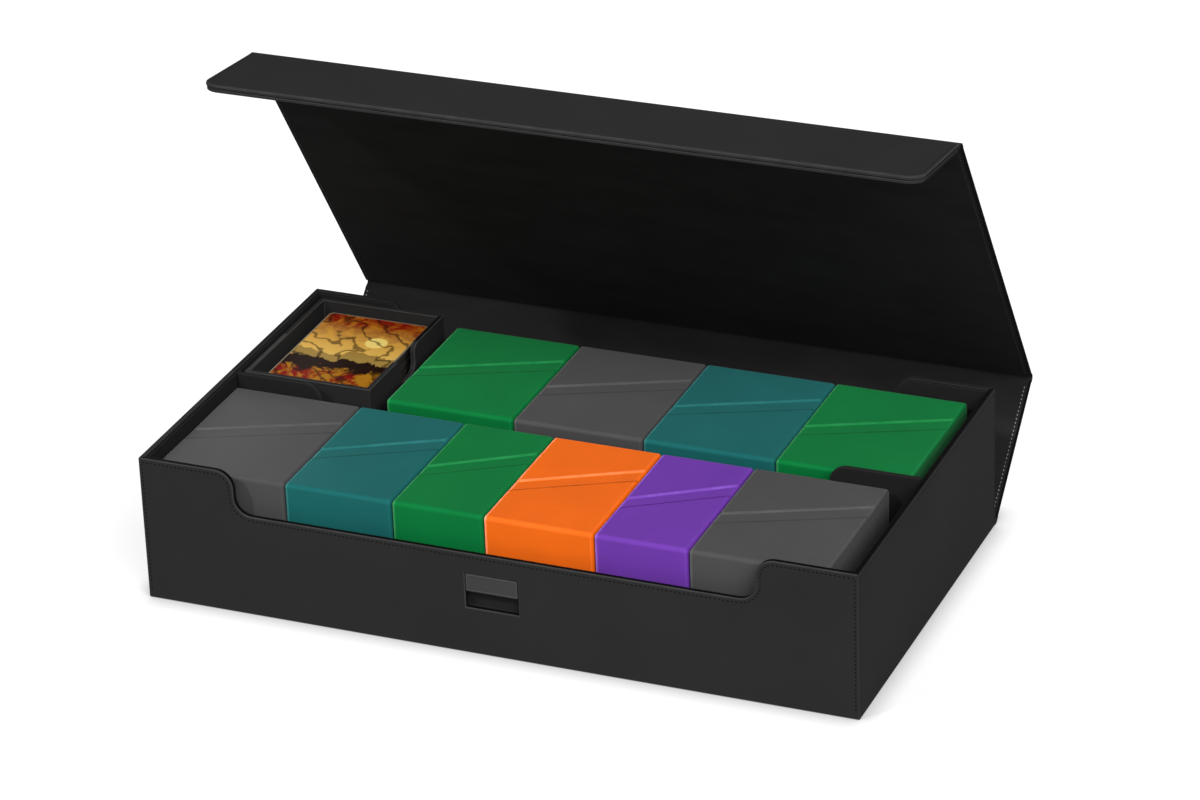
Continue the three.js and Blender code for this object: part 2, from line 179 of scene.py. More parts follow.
# The ridges in the top card's picture: height and rise in metres, peaks for each metre, and how dark
RIDGES = ((-0.004, 0.016, 38.0, 0.55), (-0.014, 0.012, 83.0, 1.0))

# The camera's sensor in millimetres and how far it sees, and how far off the lamps stand, in metres
SENSOR_WIDTH = 36
CAMERA_REACH = 50
LAMP_DISTANCE = 3
# Where each lamp stands: degrees right of the front, degrees over the horizon, and how many degrees wide
LAMPS = {
    "key": (-38, 44, 4),
    "front": (25, 30, 30),
    "side": (52, 42, 30),
    "back": (180, 15, 50),
}


# Sizes and colours that a user would change

def millimetres(name, value, description):
    """A length property whose default is given in millimetres."""
    return FloatProperty(name=name, description=description, default=value / 1000, min=0, precision=5,
                         subtype="DISTANCE", unit="LENGTH")


def lamp_strength(name, value, description):
    """A lamp's strength, at which 1 makes a white surface that faces it white."""
    return FloatProperty(name=name, description=description, default=value, min=0)


def tone(name, screen, description):
    """A colour property whose default is given in screen levels from 0 to 255."""
    levels = (level / 255 for level in screen)
    linear = tuple(v / 12.92 if v <= 0.04045 else ((v + 0.055) / 1.055) ** 2.4 for v in levels)
    return FloatVectorProperty(name=name, description=description, default=linear, size=3, min=0, max=1,
                               subtype="COLOR")


class CaseSizes(bpy.types.PropertyGroup):
    """Roundings, seams and stitches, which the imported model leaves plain."""
    rim_round: millimetres("Rim rounding", 1.0,
                           "Rounding of the leather over a wall's outer top edge")
    inner_round: millimetres("Inner rounding", 0.5,
                             "Rounding of a wall's inner top edge and of its foot")
    corner_round: millimetres("Corner rounding", 0.7, "Rounding of the case's upright corners")
    foot_gap: millimetres("Foot gap", 0.3, "Height of the walls' lower edge over the floor")
    lining_round: millimetres("Lining rounding", 0.2, "Rounding of the thin linings' edges")
    divider_round: millimetres("Divider rounding", 1.0, "Rounding of the row divider's edges")
    board_round: millimetres("Board rounding", 1.1, "Rounding of the cover boards' edges")
    lining_margin: millimetres("Lining margin", 0.7,
                               "How far a cover lining stands back from its board's sides")
    board_gap: millimetres("Board gap", 0.15, "Gap between a cover board and the lining on it")
    flap_corner: millimetres("Flap corner", 11.0, "Radius of the flap's two free corners")
    facing_inset: millimetres("Facing inset", 0.6,
                              "How far the flap's facing stands back from its board's edge")
    fold_round: millimetres("Fold rounding", 3.2, "Radius of the outer leather over a fold")
    fold_inner_round: millimetres("Inner fold rounding", 2.4, "Radius of the lining in a fold")
    fold_sink: millimetres("Fold sink", 0.35, "How deep a fold lies under the boards' outer faces")
    fold_skin: millimetres("Fold skin", 0.8, "Thickness of the leather over a fold")
    fold_bite: millimetres("Fold bite", 0.9,
                           "How far the fold's leather reaches under each board's rounding")
    stitch_pitch: millimetres("Stitch pitch", 2.6, "Distance from one stitch to the next")
    stitch_length: millimetres("Stitch length", 1.5, "Length of one stitch")
    stitch_width: millimetres("Stitch width", 0.8, "Width of one stitch")
    stitch_rise: millimetres("Stitch rise", 0.12, "How far a stitch stands out of the leather")
    rim_stitch_inset: millimetres("Rim stitch inset", 2.6,
                                  "Distance of the stitches from a wall's rim")
    corner_stitch_inset: millimetres("Corner stitch inset", 2.2,
                                     "Distance of the stitches from an upright corner")
    cover_stitch_inset: millimetres("Cover stitch inset", 2.8,
                                    "Distance of the stitches from a board's side edge")
    flap_stitch_inset: millimetres("Flap stitch inset", 2.7,
                                   "Distance of the stitches from the flap's side edge")
    tab_border: millimetres("Tab border", 1.0, "Width of the pull tab's raised border")
    tab_sink: millimetres("Tab sink", 0.25, "Depth of the pull tab's middle under its border")
    tray_round: millimetres("Tray rounding", 0.5, "Rounding of the tray's edges")
    card_corner: millimetres("Card corner", 3.0, "Radius of a card's corners")
    card_jitter: millimetres("Card jitter", 0.22, "How far a card in the stack may be out of line")
    sleeve_edge: millimetres("Sleeve edge", 0.9, "Clear edge of the sleeve around the card")
    deck_round: millimetres("Deck rounding", 2.5, "Rounding of a deck case's edges")
    deck_side_round: millimetres("Deck side rounding", 2.0, "Rounding of a deck case's side edges")
    deck_seam_round: millimetres("Deck seam rounding", 0.3,
                                 "Rounding of the lid's and the base's edge at the seam")
    deck_band_depth: millimetres("Deck band depth", 0.5,
                                 "How deep the band between base and lid lies")
    deck_lid_slope: millimetres("Lid slope", 2.3, "Width of the lid's slope down to the band")
    deck_base_slope: millimetres("Base slope", 2.2, "Width of the base's slope down to the band")
    deck_gap: millimetres("Deck gap", 0.2, "Gap between the band and the lid")
    deck_spread: millimetres("Deck spread", 0.8,
                             "How far a deck case's shell fills the gap to its neighbour")
    stack_cards: IntProperty(name="Cards in the stack", description="Number of sleeved cards in the tray",
                             default=112, min=1, max=300)


class CaseColours(bpy.types.PropertyGroup):
    """Colours of the finishes, one for each material slot or thread."""
    outer_leatherette: tone("Outer leather", (47, 47, 47), "Leather on the outside of the case")
    # A slightly darker, less glossy copy of the outer leather: painted shade against the brighter light on
    # the cover's top
    cover_leather: tone("Cover leather", (45, 45, 45), "Leather on the outside of the cover")
    inner_leatherette: tone("Inner leather", (37, 37, 37), "Smooth leather on the linings")
    microfibre: tone("Microfibre", (38, 38, 38), "Soft lining of the cover and the floor")
    # Edge paint on the cover boards' sides; behind the front and right walls' rims it is painted shade
    edge_paint: tone("Edge paint", (15, 15, 15),
                     "Painted rims of the walls and sides of the cover boards")
    moulded: tone("Moulded parts", (45, 45, 45), "Card tray and finger recess")
    tab: tone("Tab", (57, 57, 57), "Pull tab over the finger recess")
    dark_thread: tone("Dark thread", (14, 14, 14), "Thread in the leather")
    pale_thread: tone("Pale thread", (125, 125, 125), "Thread along the spine's sides")
    dull_thread: tone("Dull thread", (70, 70, 70), "Thread along the lid's sides")
    steel: tone("Steel", (190, 190, 190), "Hidden magnets and keepers")
    card_edges: tone("Card edges", (56, 53, 50), "Edges of the stacked cards")
    card_sky: tone("Card sky", (206, 136, 30), "Upper part of the top card's picture")
    card_glow: tone("Card glow", (252, 222, 124), "Sun and horizon in the top card's picture")
    card_ridge: tone("Card ridge", (30, 14, 8), "Hills in the top card's picture")
    card_ground: tone("Card ground", (132, 16, 10),
                      "Red clouds and ground in the top card's picture")
    card_field: tone("Card field", (172, 118, 26), "Lit fields in the top card's picture")
    card_sleeve: tone("Card sleeve", (150, 140, 118), "Clear sleeve around the top card")
    deck_grey: tone("Grey deck", (77, 77, 77), "Grey deck cases")
    deck_teal: tone("Teal deck", (24, 101, 100), "Teal deck cases")
    deck_green: tone("Green deck", (2, 119, 56), "Green deck cases")
    deck_orange: tone("Orange deck", (250, 110, 20), "Orange deck case")
    deck_purple: tone("Purple deck", (113, 59, 172), "Purple deck case")


class StageSettings(bpy.types.PropertyGroup):
    """Camera, lamps and floor."""
    camera_place: FloatVectorProperty(name="Camera place", description="Where the camera stands", size=3,
                                      default=(0.9822, -2.2582, 1.3309), subtype="TRANSLATION", unit="LENGTH")
    camera_aim: FloatVectorProperty(name="Camera aim", description="Point in the middle of the picture",
                                    size=3, default=(0.0042, 0.0355, 0.09), subtype="TRANSLATION",
                                    unit="LENGTH")
    camera_roll: FloatProperty(name="Camera roll", description="Turn of the camera about its line of sight",
                               default=math.radians(-2.078), subtype="ANGLE", unit="ROTATION")
    camera_lens: FloatProperty(name="Camera lens", default=142.2, min=1,
                               description="Focal length in millimetres on a 36 mm sensor")
    key_strength: lamp_strength("Key light", 0.36,
                                "Light from the front left, whose shadows are crisp")
    front_strength: lamp_strength("Front light", 0.2, "Wide soft light from over the front")
    side_strength: lamp_strength("Side light", 0.65, "Wide soft light from the right")
    back_strength: lamp_strength("Back light", 0.45, "Wide soft light from behind")
    room_strength: FloatProperty(name="Room strength", description="Strength of the light from all round",
                                 default=0.13, min=0)
    floor_colour: tone("Floor", (180, 180, 180), "Plain pale floor")
    floor_seen: tone("Floor in the picture", (160, 160, 160),
                     "Share of its light that the camera sees on the floor")
    floor_glow: FloatProperty(name="Floor glow", description="What the camera sees added to the lit floor",
                              default=0.75, min=0)
    contact_reach: millimetres("Contact reach", 15,
                               "How far the shadow reaches round what stands on the floor")
    floor_size: FloatProperty(name="Floor size", description="Width of the floor", default=12, min=1,
                              subtype="DISTANCE", unit="LENGTH")


# Nodes of the materials

def fill(tree, sockets, values):
    """Gives sockets their values, or joins them to the sockets that feed them."""
    for name, value in values.items():
        if isinstance(value, bpy.types.NodeSocket):
            tree.links.new(value, sockets[name])
        else:
            sockets[name].default_value = value


def add_node(tree, kind, inputs=None, **settings):
    """A node at the end of the tree's row, with its settings and inputs."""
    node = tree.nodes.new(kind)
    node.location = (NODE_STEP * len(tree.nodes), 0)
    for name, value in settings.items():
        setattr(node, name, value)
    fill(tree, node.inputs, inputs or {})
    return node


def calculate(tree, operation, *values):
    """What a Math node makes of its values."""
    return add_node(tree, "ShaderNodeMath", dict(enumerate(values)), operation=operation).outputs[0]


def remap(tree, value, source=(0, 1), target=(0, 1)):
    """A value carried over from one range to another, and held inside it."""
    ranges = {"From Min": source[0], "From Max": source[1], "To Min": target[0], "To Max": target[1]}
    return add_node(tree, "ShaderNodeMapRange", {"Value": value, **ranges}).outputs[0]


def noise(tree, place, scale, detail, **inputs):
    """A soft noise over a surface, in waves per metre."""
    return add_node(tree, "ShaderNodeTexNoise",
                    {"Vector": place, "Scale": scale, "Detail": detail, **inputs}).outputs[0]


def wave(tree, place, scale, distortion, **inputs):
    """Slanted bands over a surface."""
    return add_node(tree, "ShaderNodeTexWave",
                    {"Vector": place, "Scale": scale, "Distortion": distortion, **inputs},
                    bands_direction="DIAGONAL").outputs["Fac"]


def mapped(tree, place, **inputs):
    """Coordinates that are moved or stretched."""
    return add_node(tree, "ShaderNodeMapping", {"Vector": place, **inputs}).outputs[0]


def tint(tree, colour, value, saturation=1.0):
    """A colour with its brightness and its saturation multiplied."""
    return add_node(tree, "ShaderNodeHueSaturation",
                    {"Color": colour, "Value": value, "Saturation": saturation}).outputs[0]


def vary_tone(tree, colour, value, source, change):
    """A colour that a value in a range makes darker or brighter, by a share of itself at most."""
    least, most = (calculate(tree, operation, 1.0, change) for operation in ("SUBTRACT", "ADD"))
    return tint(tree, colour, remap(tree, value, source, (least, most)))


def mix_colours(tree, factor, first, second):
    """A mix of two colours, each a socket or a plain colour."""
    given = dict(zip(MIX_INPUTS, (factor, first, second)))
    return add_node(tree, "ShaderNodeMix", given, data_type="RGBA").outputs[MIX_RESULT]


def bump(tree, height, strength, distance):
    """A surface's normal with a relief on it."""
    return add_node(tree, "ShaderNodeBump",
                    {"Height": height, "Strength": strength, "Distance": distance}).outputs[0]


def seen_directly(tree):
    """1 for a ray from the camera, off something glossy or through something clear, and 0 for other light."""
    ray = add_node(tree, "ShaderNodeLightPath").outputs
    first = calculate(tree, "MAXIMUM", ray["Is Camera Ray"], ray["Is Glossy Ray"])
    return calculate(tree, "MAXIMUM", first, ray["Is Transmission Ray"])


def opaque(colour):
    """A colour with the alpha that sockets ask for."""
    return (*colour, 1)


def start_group(name, inputs):
    """An empty shader group with its inputs, whose kinds follow from their defaults. None is a vector."""
    group = bpy.data.node_groups.new(name, "ShaderNodeTree")
    for socket, default in inputs.items():
        kind = "Vector" if default is None else "Color" if isinstance(default, tuple) else "Float"
        made = group.interface.new_socket(name=socket, in_out="INPUT", socket_type="NodeSocket" + kind)
        if default is not None:
            made.default_value = default
    return group, add_node(group, "NodeGroupInput").outputs


def end_group(group, **results):
    """Gives the group an output for each result, of the result's own kind."""
    for name, result in results.items():
        kind = "Color" if result.type == "RGBA" else "Float"
        group.interface.new_socket(name=name, in_out="OUTPUT", socket_type="NodeSocket" + kind)
    add_node(group, "NodeGroupOutput", results)
    return group


def leather_grain_group():
    """Fine pebbles of a leather's surface, as a height, with the valleys between them as a mask."""
    group, given = start_group("leather_grain", {"Vector": None, "Pebbles per metre": 1200.0})
    place, size = given["Vector"], given["Pebbles per metre"]
    pebbles = add_node(group, "ShaderNodeTexVoronoi", {"Vector": place, "Scale": size},
                       feature="SMOOTH_F1").outputs["Distance"]
    swell = noise(group, place, calculate(group, "MULTIPLY", size, 0.3), detail=3.0)
    dome = remap(group, pebbles, source=(0, 0.7), target=(1, 0))
    return end_group(group, Height=calculate(group, "MULTIPLY_ADD", dome, 0.6, swell),
                     Valley=remap(group, pebbles, source=(0.35, 0.7)))


def soft_tone_group():
    """Slow uneven tone over a surface, such as handling and dye leave."""
    group, given = start_group("soft_tone", {"Vector": None, "Color": GREY, "Patches per metre": 14.0,
                                             "Change": 0.08})
    cloud = noise(group, given["Vector"], given["Patches per metre"], detail=4.0, Roughness=0.55)
    toned = vary_tone(group, given["Color"], cloud, source=(0.3, 0.7), change=given["Change"])
    return end_group(group, Color=toned)


def edge_wear_and_painted_light_group():
    """Paler or darker edges, broken up by a noise. Edge is a face's mark: over 0 it stands for wear and
    painted highlight, under 0 for painted shade. Fade takes out its colour.
    """
    group, given = start_group("edge_wear_and_painted_light", {"Vector": None, "Color": GREY, "Edge": 0.0, "Lift": 0.4,
                                             "Fade": 0.0})
    patch = noise(group, given["Vector"], scale=90.0, detail=5.0)
    patch = remap(group, patch, source=(0.35, 0.65), target=(0.55, 1))
    wear_light_shade = calculate(group, "MULTIPLY", patch, given["Edge"])
    level = calculate(group, "MULTIPLY_ADD", wear_light_shade, given["Lift"], 1.0)
    faded = calculate(group, "SUBTRACT", 1.0, calculate(group, "MULTIPLY", wear_light_shade, given["Fade"]))
    return end_group(group, Color=tint(group, given["Color"], level, faded))


def short_nap_group():
    """Brushed nap of a microfibre: fine speckle and broad strokes, as a tone and a height."""
    group, given = start_group("short_nap", {"Vector": None, "Color": GREY, "Change": 0.25})
    fibres = noise(group, given["Vector"], scale=2600.0, detail=2.0)
    brushed = mapped(group, given["Vector"], Scale=(22.0, 60.0, 60.0))
    strokes = noise(group, brushed, scale=1.0, detail=3.0, Distortion=0.4)
    mixed = calculate(group, "MULTIPLY_ADD", fibres, 0.5, strokes)
    toned = vary_tone(group, given["Color"], mixed, source=(0.5, 1.0), change=given["Change"])
    return end_group(group, Color=toned, Height=fibres)


GROUP_MAKERS = {
    "leather_grain": leather_grain_group,
    "soft_tone": soft_tone_group,
    "edge_wear_and_painted_light": edge_wear_and_painted_light_group,
    "short_nap": short_nap_group,
}


def use_group(tree, name, inputs):
    """The outputs of one of the shared groups, which is built the first time it is asked for."""
    group = bpy.data.node_groups.get(name) or GROUP_MAKERS[name]()
    return add_node(tree, "ShaderNodeGroup", inputs, node_tree=group).outputs


# Surfaces, each from the object coordinates to the inputs of a material's shader

def uneven(tree, place, colour, patches, change):
    """A colour with a slow uneven tone."""
    return use_group(tree, "soft_tone", {"Vector": place, "Color": colour, "Patches per metre": patches,
                                         "Change": change})["Color"]


def wear_and_light_marks(tree, place, colour, lift, fade=0.0):
    """A colour that gets paler or darker on a piece's marked faces: paler for wear and painted highlight,
    darker for painted shade.
    """
    edge = add_node(tree, "ShaderNodeAttribute", attribute_name=RIM, attribute_type="GEOMETRY").outputs["Fac"]
    return use_group(tree, "edge_wear_and_painted_light", {"Vector": place, "Color": colour, "Edge": edge, "Lift": lift,
                                         "Fade": fade})["Color"]


def leather(tree, place, colour, roughness, specular, pebbles, depth, lift):
    """Grained leather over board: pebbles, an uneven dye, and marked edges made paler by wear and painted
    highlight, and darker by painted shade where the mark is under 0.
    """
    grain = use_group(tree, "leather_grain", {"Vector": place, "Pebbles per metre": pebbles})
    dyed = uneven(tree, place, colour, patches=11.0, change=0.07)
    return {
        "Base Color": wear_and_light_marks(tree, place, dyed, lift),
        "Roughness": remap(tree, grain["Valley"], target=[roughness + change for change in GRAIN_CHANGE]),
        "Specular IOR Level": specular,
        "Normal": bump(tree, grain["Height"], strength=0.35, distance=depth),
    }


def cloth(tree, place, colour):
    """Short-nap lining, nearly black, with faint brushed strokes."""
    nap = use_group(tree, "short_nap", {"Vector": place, "Color": colour, "Change": 0.16})
    return {
        "Base Color": nap["Color"],
        "Roughness": 0.85,
        "Specular IOR Level": 0.01,
        "Sheen Weight": 0.01,
        "Normal": bump(tree, nap["Height"], strength=0.3, distance=0.0001),
    }


def thread(tree, place, colour):
    """Twisted thread of the stitching."""
    twist = wave(tree, place, scale=700.0, distortion=1.0)
    return {
        "Base Color": uneven(tree, place, colour, patches=300.0, change=0.3),
        "Roughness": 0.7,
        "Specular IOR Level": 0.01,
        "Normal": bump(tree, twist, strength=0.3, distance=0.0001),
    }


def deck_plastic(tree, place, colour):
    """Matte moulded plastic with a fine spark texture. Its marked edges get painted highlights, paler and
    less saturated, and painted shade where the mark is under 0.
    """
    spark = noise(tree, place, scale=2400.0, detail=2.0)
    dyed = uneven(tree, place, colour, patches=25.0, change=0.05)
    return {
        "Base Color": wear_and_light_marks(tree, place, dyed, lift=0.15, fade=0.018),
        "Roughness": remap(tree, spark, target=(0.48, 0.62)),
        "Specular IOR Level": 0.045,
        "Sheen Weight": 0.06,
        "Normal": bump(tree, spark, strength=0.25, distance=0.00008),
    }


def brushed_steel(tree, place, colour):
    """Brushed plating of the hidden magnets and keepers."""
    lines = noise(tree, mapped(tree, place, Scale=(60.0, 2500.0, 2500.0)), scale=1.0, detail=4.0)
    return {
        "Base Color": uneven(tree, place, colour, patches=200.0, change=0.06),
        "Metallic": 1.0,
        "Roughness": remap(tree, lines, target=(0.25, 0.45)),
    }


def card_edge(tree, place, colour):
    """Edges of sleeved cards: paper between thin dark lines, each card its own tone."""
    height = add_node(tree, "ShaderNodeSeparateXYZ", {0: place}).outputs["Z"]
    card = calculate(tree, "FLOOR", calculate(tree, "MULTIPLY", height, TONES_PER_METRE))
    chance = add_node(tree, "ShaderNodeTexWhiteNoise", {"W": card}, noise_dimensions="1D").outputs["Value"]
    level = remap(tree, chance, target=(0.5, 1.35))
    return {
        "Base Color": tint(tree, uneven(tree, place, colour, patches=60.0, change=0.06), level),
        "Roughness": 0.5,
        "Specular IOR Level": 0.2,
    }


def card_picture(tree, place, colours, centre):
    """A generic landscape under a clear sleeve: amber sky, a low sun and dark ridges over red ground."""
    ground, sky, glow, ridge, field = (opaque(getattr(colours, "card_" + part))
                                       for part in ("ground", "sky", "glow", "ridge", "field"))
    centred = mapped(tree, place, Location=-centre)
    parts = add_node(tree, "ShaderNodeSeparateXYZ", {0: centred}).outputs
    across, along = parts["X"], parts["Y"]

    def below(line, softness, shade=1.0):
        """How far a point is under a line, up to a shade."""
        return remap(tree, calculate(tree, "SUBTRACT", line, along), (0, softness), (0, shade))

    clouds = noise(tree, centred, scale=60.0, detail=7.0, Distortion=2.4)
    light = remap(tree, along, source=(0.036, -0.012), target=(0, 0.6))
    banded = remap(tree, calculate(tree, "MULTIPLY_ADD", clouds, 0.9, light), source=(0.38, 0.72))
    picture = mix_colours(tree, banded, ground, sky)
    picture = mix_colours(tree, light, picture, glow)
    from_sun = add_node(tree, "ShaderNodeVectorMath", {0: centred, 1: SUN_PLACE}, operation="DISTANCE")
    sun = remap(tree, from_sun.outputs["Value"], source=SUN_EDGE)
    picture = mix_colours(tree, sun, picture, glow)
    for height, rise, peaks, shade in RIDGES:
        line = add_node(tree, "ShaderNodeTexNoise",
                        {"W": across, "Scale": peaks, "Detail": 5.0, "Roughness": 0.6},
                        noise_dimensions="1D").outputs[0]
        crest = calculate(tree, "MULTIPLY_ADD", line, 2 * rise, height - rise)
        picture = mix_colours(tree, below(crest, softness=0.0006, shade=shade), picture, ridge)
    lit = remap(tree, clouds, source=(0.42, 0.56))
    shore = calculate(tree, "MULTIPLY_ADD", clouds, 0.03, -0.04)
    fields = mix_colours(tree, lit, ground, field)
    picture = mix_colours(tree, below(shore, softness=0.006), picture, fields)
    swirl = wave(tree, centred, scale=26.0, distortion=14.0, Detail=3.0, **{"Detail Scale": 1.2})
    stroke = remap(tree, swirl, source=(0.16, 0.02), target=(0, 0.7))
    picture = mix_colours(tree, stroke, picture, ridge)
    return {"Base Color": picture, "Roughness": 0.5, "Specular IOR Level": 0.03}


# The surface of each finish. A leather's values are its roughness, its specular level, the pebbles in a
# metre, the depth of the grain in metres, and how much paler its marked edges are, with wear and painted
# highlight
FINISHES = {
    "outer_leatherette": (leather, 0.62, 0.002, 1500.0, 0.00006, 0.9),
    "cover_leather": (leather, 0.62, 0.0003, 1500.0, 0.00006, 1.0),
    "inner_leatherette": (leather, 0.65, 0.006, 1700.0, 0.00005, 0.9),
    "edge_paint": (leather, 0.5, 0.006, 2200.0, 0.00003, 0.4),
    "moulded": (leather, 0.6, 0.006, 2600.0, 0.00003, 0.9),
    "tab": (leather, 0.6, 0.2, 2200.0, 0.00006, 0.35),
    "microfibre": (cloth,),
    "steel": (brushed_steel,),
    **dict.fromkeys(("dark_thread", "dull_thread", "pale_thread"), (thread,)),
    **dict.fromkeys(("card_edges", "card_sleeve"), (card_edge,)),
    **dict.fromkeys(("deck_grey", "deck_teal", "deck_green", "deck_orange", "deck_purple"), (deck_plastic,)),
}


def new_material(name, surface, *given):
    """A material whose shader gets what a surface makes of the object coordinates."""
    material = bpy.data.materials.new(name)
    material.use_nodes = True
    tree = material.node_tree
    tree.nodes.clear()
    place = add_node(tree, "ShaderNodeTexCoord").outputs["Object"]
    shader = add_node(tree, "ShaderNodeBsdfPrincipled", surface(tree, place, *given))
    add_node(tree, "ShaderNodeOutputMaterial", {"Surface": shader.outputs[0]})
    return material


def finish_for(slot):
    """The material of one of the record's slots, or of a thread, made the first time it is asked for."""
    name = "finish_" + slot
    found = bpy.data.materials.get(name)
    if found:
        return found
    colours = bpy.context.scene.case_colours
    if slot == "card_face":
        lowest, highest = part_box("top_card")
        return new_material(name, card_picture, colours, (lowest + highest) / 2)
    surface, *values = FINISHES[slot]
    return new_material(name, surface, opaque(getattr(colours, slot)), *values)


# Shapes

def block(lowest, highest):
    """A box between two corners, with the layer that marks roundings."""
    bm = bmesh.new()
    bm.faces.layers.float.new(RIM)
    bmesh.ops.create_cube(bm, size=1)
    bmesh.ops.scale(bm, vec=highest - lowest, verts=bm.verts)
    bmesh.ops.translate(bm, vec=(lowest + highest) / 2, verts=bm.verts)
    bm.normal_update()
    return bm


def runs_along(edge, axis):
    """Whether the ends of an edge differ along an axis."""
    return abs(edge.verts[0].co[axis] - edge.verts[1].co[axis]) > NEAR


def sharp_edges(bm, where=None):
    """The edges whose two faces meet at an angle, among those that pass a test."""
    return [edge for edge in bm.edges if edge.is_manifold
            and abs(edge.calc_face_angle(0)) > SHARP_EDGE and (where is None or where(edge))]


def mark_faces(bm, faces, mark):
    """Marks faces. Over 0 they get paler, under 0 darker."""
    rim = bm.faces.layers.float[RIM]
    for face in faces:
        face[rim] = mark


def round_edges(bm, edges, radius, segments, mark=1):
    """Rounds edges and marks the rounding."""
    if radius <= 0 or not edges:
        return
    made = bmesh.ops.bevel(bm, geom=edges, offset=radius, affect="EDGES", segments=segments, profile=0.5,
                           material=-1, clamp_overlap=True)
    mark_faces(bm, made["faces"], mark)
    bm.normal_update()


def rounded_block(lowest, highest, radius, mark=1):
    """A box between two corners, with all its edges rounded."""
    bm = block(lowest, highest)
    round_edges(bm, bm.edges[:], radius, EDGE_SEGMENTS, mark)
    return bm


def cut_plane(bm, point, normal, keep_below=True, geometry=None):
    """Cuts along a plane, and takes away what is beyond it unless told to keep it."""
    whole = bm.verts[:] + bm.edges[:] + bm.faces[:]
    bmesh.ops.bisect_plane(bm, geom=geometry or whole, plane_co=point, plane_no=normal, dist=NEAR,
                           clear_outer=keep_below)
    bm.normal_update()


def close_cut(bm):
    """Closes open edges with flat faces."""
    bmesh.ops.holes_fill(bm, edges=[edge for edge in bm.edges if edge.is_boundary], sides=0)
    bmesh.ops.recalc_face_normals(bm, faces=bm.faces[:])


def wall_faces(bm, side):
    """The faces that look out of one side."""
    axis, sign = SIDES[side]
    return [face for face in bm.faces if face.normal[axis] * sign > FACING]


def cut_opening(bm, side, opening):
    """Cuts an opening out of one side of an open sheet: from and to along the side, bottom and top."""
    along = 1 - SIDES[side][0]
    start, end, bottom, top = opening
    for direction, level in ((along, start), (along, end), (2, bottom), (2, top)):
        parts = dict.fromkeys(part for face in wall_faces(bm, side)
                              for part in (face, *face.edges, *face.verts))
        point, normal = Vector(), Vector()
        point[direction], normal[direction] = level, 1
        cut_plane(bm, point, normal, keep_below=False, geometry=list(parts))
    inside = []
    for face in wall_faces(bm, side):
        centre = face.calc_center_median()
        if start < centre[along] < end and bottom < centre.z < top:
            inside.append(face)
    bmesh.ops.delete(bm, geom=inside, context="FACES")


def packed_points(node):
    """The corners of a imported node."""
    return [vertex.co for vertex in frame["nodes"][node].data.vertices]


def low_cut(node, along=0):
    """The low cut of a packed wall that runs along an axis, as an opening, and the radius of its S curves."""
    points = packed_points(node)
    foot, top = min(p.z for p in points), max(p.z for p in points)
    low = min(p.z for p in points if p.z > foot + NEAR)
    bottom = [p[along] for p in points if abs(p.z - low) < NEAR]
    middle = (min(bottom) + max(bottom)) / 2
    inner = max(bottom) - middle
    outer = min(abs(p[along] - middle) for p in points if abs(p.z - top) < NEAR)
    half = (inner + outer) / 2
    return (middle - half, middle + half, low, ABOVE_ALL), (outer - inner) / 2


def tidy_flats(bm, middle=None):
    """Takes out the cuts that lie in a flat face, and keeps the open edges' corners.

    In a ring it also keeps the cuts across the rims at the middle of each side, so that no face has a hole.
    """
    def over_middle(edge):
        return not runs_along(edge, 2) and any(
            all(abs(vertex.co[axis] - middle[axis]) < NEAR for vertex in edge.verts) for axis in (0, 1))

    edges = [edge for edge in bm.edges if middle is None or not over_middle(edge)]
    bmesh.ops.dissolve_limit(bm, angle_limit=FLAT_ENOUGH, use_dissolve_boundaries=False, verts=bm.verts[:],
                             edges=edges, delimit=set())
    bm.normal_update()


def step_edges(bm, side, opening, top):
    """The edges through the wall at the corners of its low cut, which become S curves."""
    axis = SIDES[side][0]
    start, end, bottom, _ = opening

    def at_corner(edge):
        return runs_along(edge, axis) and not runs_along(edge, 2) and all(
            min(abs(vertex.co.z - bottom), abs(vertex.co.z - top)) < NEAR
            and min(abs(vertex.co[1 - axis] - start), abs(vertex.co[1 - axis] - end)) < NEAR
            for vertex in edge.verts)

    return sharp_edges(bm, at_corner)


